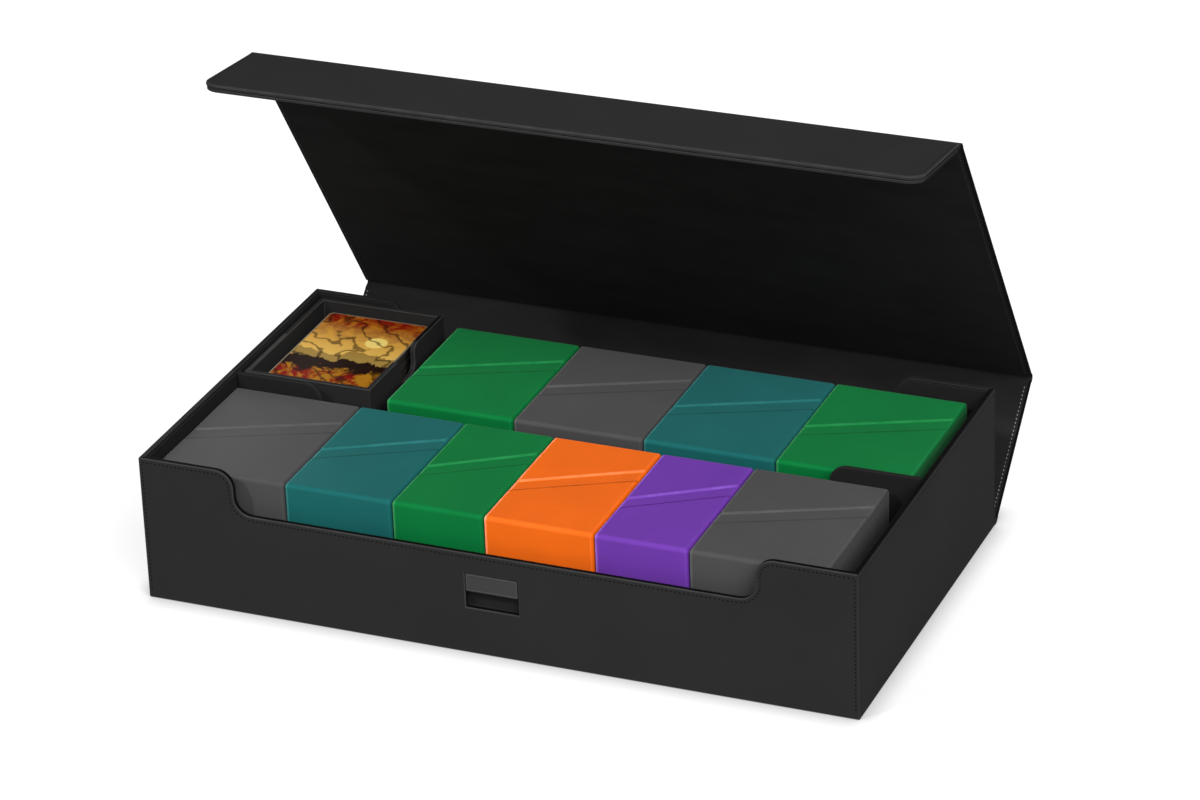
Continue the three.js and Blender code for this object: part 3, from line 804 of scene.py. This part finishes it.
def wall_ring(lowest, highest, thickness, cuts, holes, step_radius, corner_radius, rim_radius, inner_radius,
              mark=1):
    """Four upright walls in one ring, with low cuts and holes, their edges rounded.

    cuts and holes map a side to its opening. Faces behind the outer rounding take the second material.
    """
    bm = block(lowest, highest)
    ends = [face for face in bm.faces if abs(face.normal.z) > FACING]
    bmesh.ops.delete(bm, geom=ends, context="FACES_ONLY")
    for side, opening in (*cuts.items(), *holes.items()):
        cut_opening(bm, side, opening)
    middle = (lowest + highest) / 2
    cut_plane(bm, middle, Vector((1, 0, 0)), keep_below=False)
    cut_plane(bm, middle, Vector((0, 1, 0)), keep_below=False)
    bmesh.ops.solidify(bm, geom=bm.faces[:], thickness=thickness)
    tidy_flats(bm, middle)
    steps = [edge for side, opening in cuts.items() for edge in step_edges(bm, side, opening, highest.z)]
    round_edges(bm, list(dict.fromkeys(steps)), step_radius, STEP_SEGMENTS)
    mark_faces(bm, bm.faces, 0)

    def depth(point):
        return min(point.x - lowest.x, highest.x - point.x, point.y - lowest.y, highest.y - point.y)

    def upright_corner(edge):
        return runs_along(edge, 2) and all(
            min(p.x - lowest.x, highest.x - p.x) < NEAR and min(p.y - lowest.y, highest.y - p.y) < NEAR
            for p in (vertex.co for vertex in edge.verts))

    def outer_rim(edge):
        return (all(depth(vertex.co) < corner_radius / 2 + NEAR for vertex in edge.verts)
                and any(vertex.co.z > lowest.z + NEAR for vertex in edge.verts))

    # Corners and rims are marked paler: wear with a painted highlight along the rounded edges
    round_edges(bm, sharp_edges(bm, upright_corner), corner_radius, SOFT_SEGMENTS, CORNER_MARK)
    round_edges(bm, sharp_edges(bm, outer_rim), rim_radius, SOFT_SEGMENTS, mark)
    round_edges(bm, sharp_edges(bm), inner_radius, TIGHT_SEGMENTS, mark)
    for face in bm.faces:
        if depth(face.calc_center_median()) > rim_radius * BEHIND_RIM:
            face.material_index = 1
    return bm


def one_wall(ring, side, lowest, highest):
    """One side of a ring, cut off at the mitres."""
    bm = ring.copy()
    axis, sign = SIDES[side]
    inward = Vector()
    inward[axis] = -sign
    cut_plane(bm, (lowest + highest) / 2, inward)
    for end in (-1, 1):
        corner = Vector((highest.x, highest.y, 0)) if sign > 0 else Vector((lowest.x, lowest.y, 0))
        corner[1 - axis] = highest[1 - axis] if end > 0 else lowest[1 - axis]
        outward = Vector(inward)
        outward[1 - axis] = end
        cut_plane(bm, corner, outward)
    bmesh.ops.remove_doubles(bm, verts=bm.verts[:], dist=3 * NEAR)
    close_cut(bm)
    return bm


def finish_mesh(bm, name, slots, nodes):
    """The finished mesh as an object, with its finishes, hiding the imported nodes that it takes the place
    of.
    """
    bmesh.ops.recalc_face_normals(bm, faces=bm.faces[:])
    mesh = bpy.data.meshes.new(name)
    bm.to_mesh(mesh)
    bm.free()
    mesh.polygons.foreach_set("use_smooth", [True] * len(mesh.polygons))
    mesh.set_sharp_from_angle(angle=SHADE_BREAK)
    for slot in slots:
        mesh.materials.append(finish_for(slot))
    piece = bpy.data.objects.new(name, mesh)
    bpy.context.scene.collection.objects.link(piece)
    weighted = piece.modifiers.new("even shading", "WEIGHTED_NORMAL")
    weighted.keep_sharp = True
    if nodes:
        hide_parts(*nodes)
    return piece


def riding_piece(bm, name, slots, nodes, body):
    """A finished piece that moves with one body."""
    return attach(finish_mesh(bm, name, slots, nodes), body)


def ride_walls(ring, lowest, highest, naming, slots, body):
    """The four walls of a ring as pieces, with each side's finishes, for the nodes that the naming gives."""
    for side in SIDES:
        node = naming.format(side)
        riding_piece(one_wall(ring, side, lowest, highest), node + "_leather", slots[side], [node], body)
    ring.free()


def dress_node(node, finish=None):
    """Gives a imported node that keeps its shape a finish, or else that of its slot."""
    materials = frame["nodes"][node].data.materials
    materials.clear()
    materials.append(finish_for(finish or SLOTS[node]))


def board_frame(body):
    """The place of a cover board from its hinge: X along the fold, Y along the board, Z out of its inside."""
    turn = 0
    for name in ("spine", "lid", "flap"):
        hinge = JOINTS[name + "_hinge"]
        turn += hinge["range_deg"][1]
        if name == body:
            return Matrix.Translation(Vector(hinge["pos_m"])) @ Matrix.Rotation(math.radians(turn), 4, "X")
    raise ValueError(f"{body} is no board of the cover")


def local_box(node, body):
    """A cover node's box in the frame of its board."""
    inverse = board_frame(body).inverted()
    points = [inverse @ point for point in packed_points(node)]
    return tuple(Vector([pick(p[axis] for p in points) for axis in range(3)]) for pick in (min, max))


def paint_sides(bm, least):
    """Gives the second finish to the faces whose normal has at least this share along X."""
    for face in bm.faces:
        if abs(face.normal.x) > least:
            face.material_index = 1


# Stitches

def arc(centre, radius, start, end):
    """Points on an arc in the plane of a wall, in degrees from +X towards +Z."""
    turns = [math.radians(start + (end - start) * step / ARC_STEPS) for step in range(ARC_STEPS + 1)]
    return [Vector((centre[0] + radius * math.cos(turn), 0, centre[1] + radius * math.sin(turn)))
            for turn in turns]


def rim_line(inset, corner_inset, lowest, highest, opening, radius):
    """A line of points that keeps its distance from a wall's ends and from its rim, S curves included."""
    _, step, low, _ = opening
    top = highest.z
    side = highest.x - corner_inset
    right = [Vector((side, 0, lowest.z + corner_inset)), Vector((side, 0, top - inset))]
    right += arc((step + radius, top - radius), radius - inset, 90, 180)
    right += arc((step - radius, low + radius), radius + inset, 0, -90)
    left = [Vector((-p.x, 0, p.z)) for p in reversed(right)]
    return right + left


def stitch_line(bm, line, normal, sizes, place=None):
    """Stitches at an even pitch along a line that lies on a surface."""
    lengths = [(b - a).length for a, b in zip(line, line[1:])]
    count = max(1, round(sum(lengths) / sizes.stitch_pitch))
    pitch = sum(lengths) / count
    shape = Matrix.Diagonal((sizes.stitch_width, sizes.stitch_length, 2 * sizes.stitch_rise, 1))
    passed, piece = 0, 0
    for number in range(count):
        wanted = (number + 0.5) * pitch
        while passed + lengths[piece] < wanted and piece < len(lengths) - 1:
            passed += lengths[piece]
            piece += 1
        along = (line[piece + 1] - line[piece]).normalized()
        point = line[piece] + along * (wanted - passed)
        axes = Matrix((along.cross(normal), along, normal)).transposed().to_4x4()
        matrix = (place or Matrix()) @ Matrix.Translation(point) @ axes @ shape
        bmesh.ops.create_uvsphere(bm, u_segments=6, v_segments=4, radius=0.5, matrix=matrix)


# Operators, one for each piece or group of like pieces

class CASE_OT_stage(bpy.types.Operator):
    """Sets up the camera, the lamps, the room light and the floor"""
    bl_idname = "case.stage"
    bl_label = "Stage"

    def execute(self, context):
        stage = context.scene.case_stage
        self.add_camera(context, stage)
        for name in LAMPS:
            self.add_lamp(context, name, getattr(stage, name + "_strength"))
        self.light_room(context, stage)
        self.add_floor(context, stage)
        context.scene.view_settings.view_transform = "Standard"
        return {"FINISHED"}

    def add_camera(self, context, stage):
        data = bpy.data.cameras.new("camera")
        data.lens = stage.camera_lens
        data.sensor_width = SENSOR_WIDTH
        data.clip_end = CAMERA_REACH
        camera = bpy.data.objects.new("camera", data)
        camera.location = stage.camera_place
        sight = (Vector(stage.camera_aim) - Vector(stage.camera_place)).to_track_quat("-Z", "Y")
        camera.rotation_mode = "QUATERNION"
        camera.rotation_quaternion = sight @ Quaternion((0, 0, 1), stage.camera_roll)
        context.scene.collection.objects.link(camera)
        context.scene.camera = camera

    def add_lamp(self, context, name, strength):
        azimuth, height, width = (math.radians(angle) for angle in LAMPS[name])
        data = bpy.data.lights.new(name, "SUN")
        data.energy = strength * math.pi
        data.angle = width
        lamp = bpy.data.objects.new(name, data)
        towards = Vector((math.sin(azimuth) * math.cos(height), -math.cos(azimuth) * math.cos(height),
                          math.sin(height)))
        lamp.rotation_euler = towards.to_track_quat("Z", "Y").to_euler()
        lamp.location = towards * LAMP_DISTANCE
        context.scene.collection.objects.link(lamp)

    def light_room(self, context, stage):
        world = bpy.data.worlds.new("room")
        world.use_nodes = True
        tree = world.node_tree
        tree.nodes.clear()
        strength = remap(tree, seen_directly(tree), target=(stage.room_strength, 1))
        light = add_node(tree, "ShaderNodeBackground", {"Color": WHITE, "Strength": strength})
        add_node(tree, "ShaderNodeOutputWorld", {"Surface": light.outputs[0]})
        context.scene.world = world

    def add_floor(self, context, stage):
        bm = bmesh.new()
        bmesh.ops.create_grid(bm, x_segments=1, y_segments=1, size=stage.floor_size / 2)
        mesh = bpy.data.meshes.new("floor")
        bm.to_mesh(mesh)
        bm.free()
        floor = bpy.data.objects.new("floor", mesh)
        context.scene.collection.objects.link(floor)
        mesh.materials.append(new_material("floor_paper", self.paper, stage))

    def paper(self, tree, place, stage):
        """Pale paper that the camera sees evenly lit, but for a soft shadow round what stands on it."""
        direct = seen_directly(tree)
        contact = add_node(tree, "ShaderNodeAmbientOcclusion", {"Distance": stage.contact_reach}, samples=16)
        glow = calculate(tree, "MULTIPLY", direct, stage.floor_glow)
        return {
            "Base Color": mix_colours(tree, direct, opaque(stage.floor_colour), opaque(stage.floor_seen)),
            "Roughness": 0.9,
            "Specular IOR Level": 0.0,
            "Emission Color": WHITE,
            "Emission Strength": calculate(tree, "MULTIPLY", glow, contact.outputs["AO"]),
        }


class CASE_OT_walls(bpy.types.Operator):
    """Builds the four leather walls with their rounded rims, low cuts and the window"""
    bl_idname = "case.walls"
    bl_label = "Walls"

    def execute(self, context):
        sizes = context.scene.case_sizes
        back_low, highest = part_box("back_wall")
        lowest = Vector((*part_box("front_wall")[0].xy, sizes.foot_gap))
        cut, radius = low_cut("back_wall")
        ring = wall_ring(lowest, highest, highest.y - back_low.y, {"front": cut, "back": cut},
                         {"front": window_opening()}, radius, sizes.corner_round, sizes.rim_round,
                         sizes.inner_round)
        # The side walls' rims are marked a little darker: painted shade
        side_rims = [face for face in ring.faces if face.normal.z > RIM_FACING
                     and abs(face.calc_center_median().x) > highest.x - sizes.rim_round]
        mark_faces(ring, side_rims, SIDE_RIM_SHADE)
        # Behind their rims the front and right walls take the dark edge paint as painted shade; back and left
        # keep the inner leather
        slots = dict.fromkeys(SIDES, ["outer_leatherette", "inner_leatherette"])
        slots["front"] = slots["right"] = ["outer_leatherette", "edge_paint"]
        ride_walls(ring, lowest, highest, "{}_wall", slots, "case")
        return {"FINISHED"}


def window_opening(margin=0.0):
    """The window in the front wall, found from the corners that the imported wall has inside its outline."""
    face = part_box("front_wall")[0].y
    pocket_low, pocket_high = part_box("window_pocket")
    inside = [p for p in packed_points("front_wall") if abs(p.x) < pocket_high.x
              and pocket_low.z < p.z < pocket_high.z and abs(p.y - face) < NEAR]
    return (min(p.x for p in inside) - margin, max(p.x for p in inside) + margin,
            min(p.z for p in inside) - margin, max(p.z for p in inside) + margin)


class CASE_OT_linings(bpy.types.Operator):
    """Builds the thin linings of the box and dresses its floor and base"""
    bl_idname = "case.linings"
    bl_label = "Linings"

    def execute(self, context):
        sizes = context.scene.case_sizes
        lowest, front_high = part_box("front_lining")
        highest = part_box("back_lining")[1]
        cut, radius = low_cut("back_lining")
        ring = wall_ring(lowest, highest, front_high.y - lowest.y, {"front": cut, "back": cut},
                         {"front": window_opening(WINDOW_MARGIN)}, radius, 0, sizes.lining_round,
                         sizes.lining_round)
        slots = dict.fromkeys(SIDES, ["inner_leatherette"] * 2)
        ride_walls(ring, lowest, highest, "{}_lining", slots, "case")
        self.base_panel(sizes)
        for node in ("floor_board", "floor_lining"):
            dress_node(node)
        dress_node("window_pocket", "moulded")
        return {"FINISHED"}

    def base_panel(self, sizes):
        """The board under the box, set in between the feet of the walls."""
        lowest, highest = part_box("base_board")
        wall_low, wall_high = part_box("right_wall")
        inset = wall_high.x - wall_low.x + sizes.board_gap
        inset = Vector((inset, inset, 0))
        highest.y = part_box("back_wall")[1].y
        panel = rounded_block(lowest + inset, highest - inset, sizes.inner_round)
        riding_piece(panel, "base_panel", ["outer_leatherette"], ["base_board"], "case")


class CASE_OT_divider(bpy.types.Operator):
    """Builds the divider between the two rows of decks"""
    bl_idname = "case.divider"
    bl_label = "Row divider"

    def execute(self, context):
        sizes = context.scene.case_sizes
        lowest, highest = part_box("row_divider")
        opening, radius = low_cut("row_divider")
        bm = block(lowest, highest)
        front = wall_faces(bm, "front")
        bmesh.ops.delete(bm, geom=[face for face in bm.faces if face not in front], context="FACES")
        cut_opening(bm, "front", opening)
        bmesh.ops.solidify(bm, geom=bm.faces[:], thickness=highest.y - lowest.y)
        tidy_flats(bm)
        round_edges(bm, step_edges(bm, "front", opening, highest.z), radius, STEP_SEGMENTS)
        round_edges(bm, sharp_edges(bm), sizes.divider_round, EDGE_SEGMENTS, DIVIDER_MARK)
        riding_piece(bm, "divider_leather", ["inner_leatherette"], ["row_divider"], "case")
        return {"FINISHED"}


class CASE_OT_tab(bpy.types.Operator):
    """Builds the pull tab with its raised border"""
    bl_idname = "case.tab"
    bl_label = "Pull tab"

    def execute(self, context):
        sizes = context.scene.case_sizes
        bm = rounded_block(*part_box("pull_tab"), sizes.inner_round)
        front = max(wall_faces(bm, "front"), key=lambda face: face.calc_area())
        bmesh.ops.inset_individual(bm, faces=[front], thickness=sizes.tab_border - sizes.inner_round,
                                   use_even_offset=True)
        inner = bmesh.ops.inset_individual(bm, faces=[front], thickness=sizes.tab_sink, depth=-sizes.tab_sink,
                                           use_even_offset=True)
        # The border and sides are marked paler: a painted highlight on the raised border
        mark_faces(bm, bm.faces, 1)
        mark_faces(bm, [front, *inner["faces"]], 0)
        riding_piece(bm, "tab_leather", ["tab"], ["pull_tab"], "pull_tab")
        return {"FINISHED"}


class CASE_OT_cover(bpy.types.Operator):
    """Builds the spine, lid and flap boards with their linings"""
    bl_idname = "case.cover"
    bl_label = "Cover boards"

    def execute(self, context):
        sizes = context.scene.case_sizes
        for body in ("spine", "lid"):
            board, lining = body + "_board", body + "_lining"
            self.add_board(body, board, board + "_leather", "cover_leather", 0, sizes.board_round)
            self.add_board(body, lining, lining + "_cloth", SLOTS[lining], sizes.lining_margin,
                           sizes.lining_round)
        self.add_flap("flap_board", "cover_leather", 0, sizes.flap_corner, sizes.board_round)
        self.add_flap("flap_facing", SLOTS["flap_facing"], sizes.facing_inset, sizes.flap_corner,
                      sizes.inner_round)
        return {"FINISHED"}

    def add_board(self, body, node, name, finish, margin, radius):
        """A board or its lining. A lining goes out to its margin inside the board's sides."""
        lowest, highest = local_box(node, body)
        if margin:
            board_low, board_high = local_box(body + "_board", body)
            lowest.x, highest.x = board_low.x + margin, board_high.x - margin
        bm = rounded_block(lowest, highest, radius, BOARD_MARK)
        self.place_board(bm, BOARD_PAINT, name, finish, node, body)

    def add_flap(self, node, finish, inset, corner, radius):
        """A flap board, whose free corners are round. Its inset is from the widest board's edge."""
        lowest, highest = local_box(node, "flap")
        whole_low, whole_high = local_box("flap_board", "flap")
        if inset:
            lowest.x, highest.x, highest.y = whole_low.x + inset, whole_high.x - inset, whole_high.y - inset
        bm = block(lowest, highest)
        corners = [edge for edge in bm.edges if runs_along(edge, 2)
                   and all(vertex.co.y > highest.y - NEAR for vertex in edge.verts)]
        round_edges(bm, corners, corner - inset, FLAP_SEGMENTS, 0)
        round_edges(bm, sharp_edges(bm), radius, EDGE_SEGMENTS)
        self.place_board(bm, FLAP_PAINT, node + "_leather", finish, node, "flap")

    def place_board(self, bm, least, name, finish, node, body):
        """Paints a board's sides and moves it to its place in the cover."""
        paint_sides(bm, least)
        bmesh.ops.transform(bm, matrix=board_frame(body), verts=bm.verts)
        riding_piece(bm, name, [finish, "edge_paint"], [node], body)


class CASE_OT_folds(bpy.types.Operator):
    """Builds the leather over each fold of the cover and the lining in it, which bend with the hinges"""
    bl_idname = "case.folds"
    bl_label = "Folds"

    def execute(self, context):
        sizes = context.scene.case_sizes
        for name, parent, child in FOLDS:
            angle = math.radians(JOINTS[child + "_hinge"]["range_deg"][1])
            place = board_frame(child) @ Matrix.Rotation(-angle, 4, "X")
            bend = (place, angle, parent, child)
            edge = local_box(child + "_board", child)[0]
            heights = (sizes.fold_sink, sizes.fold_sink + sizes.fold_skin)
            self.add_fold(name + "_fold_leather", "cover_leather", [name + "_hinge_strip"], bend, heights,
                          heights[0] + sizes.fold_round, edge, sizes.fold_bite)
            edge = local_box(child + ("_facing" if child == "flap" else "_lining"), child)[0]
            heights = (edge.z, edge.z + sizes.fold_skin / 2)
            self.add_fold(name + "_fold_lining", "microfibre", [], bend, heights,
                          heights[1] + sizes.fold_inner_round, edge, sizes.fold_bite)
        return {"FINISHED"}

    def add_fold(self, name, slot, nodes, bend, heights, centre_height, edge, bite):
        """A strip between two heights over the outer faces, bent by the fold's angle round a centre."""
        place, angle, parent, child = bend
        reach = edge.y + bite
        run = centre_height * math.tan(angle / 2)
        bm = block(Vector((edge.x, -reach, heights[0])), Vector((-edge.x, -run, heights[1])))
        end_faces = [face for face in bm.faces if face.normal.y > FACING]
        bmesh.ops.delete(bm, geom=end_faces, context="FACES_ONLY")
        made = bmesh.ops.spin(bm, geom=[one for one in bm.edges if one.is_boundary], axis=(1, 0, 0),
                              cent=Vector((0, -run, centre_height)), angle=angle, steps=FOLD_STEPS)
        last = [part for part in made["geom_last"] if isinstance(part, bmesh.types.BMEdge)]
        drawn = bmesh.ops.extrude_edge_only(bm, edges=last)
        moved = [part for part in drawn["geom"] if isinstance(part, bmesh.types.BMVert)]
        along = Vector((0, math.cos(angle), math.sin(angle)))
        bmesh.ops.translate(bm, vec=along * (reach - run), verts=moved)
        close_cut(bm)
        bmesh.ops.remove_doubles(bm, verts=bm.verts[:], dist=NEAR)
        bmesh.ops.transform(bm, matrix=place, verts=bm.verts)
        piece = finish_mesh(bm, name, [slot], nodes)
        start = place @ Vector((0, -run, 0))
        finish = place @ Vector((0, run * math.cos(angle), run * math.sin(angle)))
        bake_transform(piece, parent, child, start=start, end=finish)


class CASE_OT_stitching(bpy.types.Operator):
    """Sews the dark thread of the walls and the flap, and the pale thread along the cover's sides"""
    bl_idname = "case.stitching"
    bl_label = "Stitching"

    def execute(self, context):
        sizes = context.scene.case_sizes
        self.sew_walls(sizes)
        self.sew_cover(sizes, "spine", "spine_lining", "pale_thread", sizes.cover_stitch_inset)
        self.sew_cover(sizes, "lid", "lid_lining", "dull_thread", sizes.cover_stitch_inset)
        self.sew_cover(sizes, "flap", "flap_facing", "dark_thread", sizes.flap_stitch_inset)
        return {"FINISHED"}

    def sew_walls(self, sizes):
        opening, radius = low_cut("back_wall")
        near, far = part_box("front_wall")[0].y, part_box("back_wall")[1].y
        corner, rim = sizes.corner_stitch_inset, sizes.rim_stitch_inset
        for side, (axis, sign) in SIDES.items():
            lowest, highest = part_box(side + "_wall")
            if axis:
                line = rim_line(rim, corner, lowest, highest, opening, radius)
            else:
                line = [Vector((0, y, z)) for y, z in (
                    (near + corner, lowest.z + corner), (near + corner, highest.z - rim),
                    (far - corner, highest.z - rim), (far - corner, lowest.z + corner))]
            for point in line:
                point[axis] = lowest[axis] if sign < 0 else highest[axis]
            outward = Vector()
            outward[axis] = sign
            self.sew(side + "_wall_stitches", "dark_thread", "outer_leatherette", "case",
                     [(line, outward)], sizes)

    def sew_cover(self, sizes, body, lining, thread_slot, inset):
        """Two rows along the sides of a board, seen on its outer face and on its lining."""
        board_low, board_high = local_box(body + "_board", body)
        lining_low, lining_high = local_box(lining, body)
        end = board_high.y - sizes.flap_corner if body == "flap" else lining_high.y - sizes.stitch_pitch
        rows = [([Vector((x, lining_low.y + sizes.stitch_pitch, z)), Vector((x, end, z))], Vector((0, 0, up)))
                for x in (board_low.x + inset, board_high.x - inset)
                for z, up in ((board_low.z, -1), (lining_high.z, 1))]
        self.sew(body + "_stitches", thread_slot, SLOTS[body + "_board"], body, rows, sizes,
                 board_frame(body))

    def sew(self, name, thread_slot, slot, body, rows, sizes, place=None):
        """A piece of stitches, from rows that are each a line and the direction that it is seen from."""
        bm = bmesh.new()
        for line, outward in rows:
            stitch_line(bm, line, outward, sizes, place)
        riding_piece(bm, name, [thread_slot], [], body)


class CASE_OT_tray(bpy.types.Operator):
    """Builds the card tray with its finger cut"""
    bl_idname = "case.tray"
    bl_label = "Card tray"

    def execute(self, context):
        sizes = context.scene.case_sizes
        lowest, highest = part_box("tray_front")[0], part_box("tray_back")[1]
        wall_low, wall_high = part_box("tray_right")
        cut, radius = low_cut("tray_right", along=1)
        ring = wall_ring(lowest, highest, wall_high.x - wall_low.x, {"right": cut}, {}, radius,
                         sizes.tray_round, sizes.tray_round, sizes.tray_round, TRAY_RIM_HIGHLIGHT)
        ride_walls(ring, lowest, highest, "tray_{}", dict.fromkeys(SIDES, ["moulded"] * 2), "card_tray")
        dress_node("tray_floor", "moulded")
        return {"FINISHED"}


class CASE_OT_cards(bpy.types.Operator):
    """Builds the stack of sleeved cards and the top card"""
    bl_idname = "case.cards"
    bl_label = "Cards"

    def execute(self, context):
        sizes = context.scene.case_sizes
        self.add_stack(sizes)
        self.add_top_card(sizes)
        return {"FINISHED"}

    def card(self, lowest, highest, radius, segments):
        """A card with round corners."""
        bm = block(lowest, highest)
        round_edges(bm, [edge for edge in bm.edges if runs_along(edge, 2)], radius, segments)
        return bm

    def add_stack(self, sizes):
        lowest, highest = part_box("card_stack")
        rise = (highest.z - lowest.z) / sizes.stack_cards
        chance = random.Random(STACK_SEED)
        pile = bmesh.new()
        pile.faces.layers.float.new(RIM)
        spare = bpy.data.meshes.new("spare")
        margin = Vector((sizes.card_jitter, sizes.card_jitter, 0))
        for number in range(sizes.stack_cards):
            shift = Vector((chance.uniform(-1, 1), chance.uniform(-1, 1), 0)) * sizes.card_jitter
            level = lowest.z + rise * number
            foot = Vector((*lowest.xy, level)) + margin + shift
            head = Vector((*highest.xy, level + rise * CARD_SHARE)) - margin + shift
            card = self.card(foot, head, sizes.card_corner, EDGE_SEGMENTS)
            card.to_mesh(spare)
            card.free()
            pile.from_mesh(spare)
        bpy.data.meshes.remove(spare)
        riding_piece(pile, "card_pile", ["card_edges"], ["card_stack"], "cards")

    def add_top_card(self, sizes):
        """The top card in its sleeve: the picture inside a clear edge."""
        bm = self.card(*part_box("top_card"), sizes.card_corner, CARD_SEGMENTS)
        top = max(bm.faces, key=lambda face: face.normal.z * face.calc_area())
        bmesh.ops.inset_individual(bm, faces=[top], thickness=sizes.sleeve_edge, use_even_offset=True)
        top.material_index = 1
        riding_piece(bm, "picture_card", ["card_sleeve", "card_face"], ["top_card"], "cards")


class CASE_OT_decks(bpy.types.Operator):
    """Builds the closed deck cases, each a base with its slanted band and a pull-off lid"""
    bl_idname = "case.decks"
    bl_label = "Deck cases"

    def execute(self, context):
        sizes = context.scene.case_sizes
        for body in sorted(frame["bodies"]):
            if body.startswith("deck_"):
                self.add_deck(body, sizes)
        return {"FINISHED"}

    def seam(self, lowest, highest, shares):
        """A point on a seam and its normal, towards the back."""
        length = highest.y - lowest.y
        left = Vector((lowest.x, lowest.y + shares[0] * length, 0))
        right = Vector((highest.x, lowest.y + shares[1] * length, 0))
        along = right - left
        return left, Vector((-along.y, along.x, 0)).normalized()

    def closed_shell(self, lowest, highest, sizes):
        """A deck case in one piece: soft ends, a painted highlight on the left side edges, and on the right
        ones a painted highlight that turns into painted shade.
        """
        bm = block(lowest, highest)
        ends = [edge for edge in bm.edges if runs_along(edge, 0)]
        round_edges(bm, ends, sizes.deck_round, SOFT_SEGMENTS, DECK_EDGE_HIGHLIGHT)
        round_edges(bm, sharp_edges(bm), sizes.deck_side_round, SOFT_SEGMENTS, DECK_EDGE_HIGHLIGHT)
        for face in bm.faces:
            across = face.normal.x
            if -SIDE_FLAT < across < -SIDE_TURN:
                mark_faces(bm, [face], DECK_LEFT_HIGHLIGHT_MOST * min(1, -DECK_LEFT_HIGHLIGHT_RATE * across))
            elif SIDE_TURN < across < SIDE_FLAT:
                mark_faces(bm, [face], DECK_RIGHT_HIGHLIGHT_START - DECK_RIGHT_SHADE_FALL * across)
        return bm

    def add_deck(self, body, sizes):
        base, lid = body + "_base", body + "_lid"
        spread = Vector((sizes.deck_spread, 0, 0))
        lowest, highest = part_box(base)[0] - spread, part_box(lid)[1] + spread
        front, normal = self.seam(lowest, highest, DECK_BAND_FRONT)
        back, back_normal = self.seam(lowest, highest, DECK_BAND_BACK)
        shell = self.closed_shell(lowest, highest, sizes)

        bottom = shell.copy()
        cut_plane(bottom, back - back_normal * sizes.deck_gap, back_normal)
        close_cut(bottom)
        self.lower_top(bottom, front, normal, sizes.deck_base_slope, highest.z, sizes, DECK_BASE_SHADE)
        riding_piece(bottom, base + "_shell", [SLOTS[base]], [base], body)

        cut_plane(shell, back, -back_normal)
        close_cut(shell)
        self.lower_top(shell, back, -back_normal, sizes.deck_lid_slope, highest.z, sizes, DECK_LID_HIGHLIGHT)
        cap = min(shell.faces, key=lambda face: face.normal.dot(back_normal) * face.calc_area())
        round_edges(shell, list(cap.edges), sizes.deck_seam_round, TIGHT_SEGMENTS)
        riding_piece(shell, lid + "_shell", [SLOTS[lid]], [lid], body)

    def lower_top(self, bm, line, normal, width, top, sizes, mark):
        """Lowers the top beyond a line on it, but not at its sides, and marks the slope before the line:
        painted highlight on the lid, painted shade on the base.
        """
        for shift in (0, width):
            cut_plane(bm, line - normal * shift, normal, keep_below=False)
        for vertex in bm.verts:
            share = 1 - (top - vertex.co.z) / sizes.deck_round
            if share > 0 and (vertex.co - line).dot(normal) > -NEAR:
                vertex.co.z -= sizes.deck_band_depth * share ** 3
        bm.normal_update()
        slope = [face for face in bm.faces if face.normal.z > SLOPE_FACING
                 and -width < (face.calc_center_median() - line).dot(normal) < 0]
        mark_faces(bm, slope, mark)


class CASE_OT_magnets(bpy.types.Operator):
    """Dresses the hidden magnets and keepers"""
    bl_idname = "case.magnets"
    bl_label = "Magnets and keepers"

    def execute(self, context):
        for node in ("keeper_left", "keeper_right", "magnet_left", "magnet_right"):
            dress_node(node)
        return {"FINISHED"}


BUILD_ORDER = (CASE_OT_stage, CASE_OT_walls, CASE_OT_linings, CASE_OT_divider, CASE_OT_tab, CASE_OT_cover,
               CASE_OT_folds, CASE_OT_stitching, CASE_OT_tray, CASE_OT_cards, CASE_OT_decks, CASE_OT_magnets)


class CASE_PT_panel(bpy.types.Panel):
    """Lists the pieces in the sidebar, with the sizes and colours"""
    bl_idname = "CASE_PT_panel"
    bl_label = "Card storage case"
    bl_space_type = "VIEW_3D"
    bl_region_type = "UI"
    bl_category = "Card Case"

    def draw(self, context):
        layout = self.layout
        for operator in BUILD_ORDER:
            layout.operator(operator.bl_idname)
        for group in (context.scene.case_sizes, context.scene.case_colours, context.scene.case_stage):
            box = layout.box()
            for name in group.bl_rna.properties.keys():
                if name not in ("rna_type", "name"):
                    box.prop(group, name)


CLASSES = (CaseSizes, CaseColours, StageSettings, *BUILD_ORDER, CASE_PT_panel)


def register():
    for one in CLASSES:
        bpy.utils.register_class(one)
    bpy.types.Scene.case_sizes = PointerProperty(type=CaseSizes)
    bpy.types.Scene.case_colours = PointerProperty(type=CaseColours)
    bpy.types.Scene.case_stage = PointerProperty(type=StageSettings)


def unregister():
    del bpy.types.Scene.case_stage
    del bpy.types.Scene.case_colours
    del bpy.types.Scene.case_sizes
    for one in reversed(CLASSES):
        bpy.utils.unregister_class(one)


def main():
    register()
    for operator in BUILD_ORDER:
        group, name = operator.bl_idname.split(".")
        getattr(getattr(bpy.ops, group), name)()


if __name__ == "__main__":
    main()
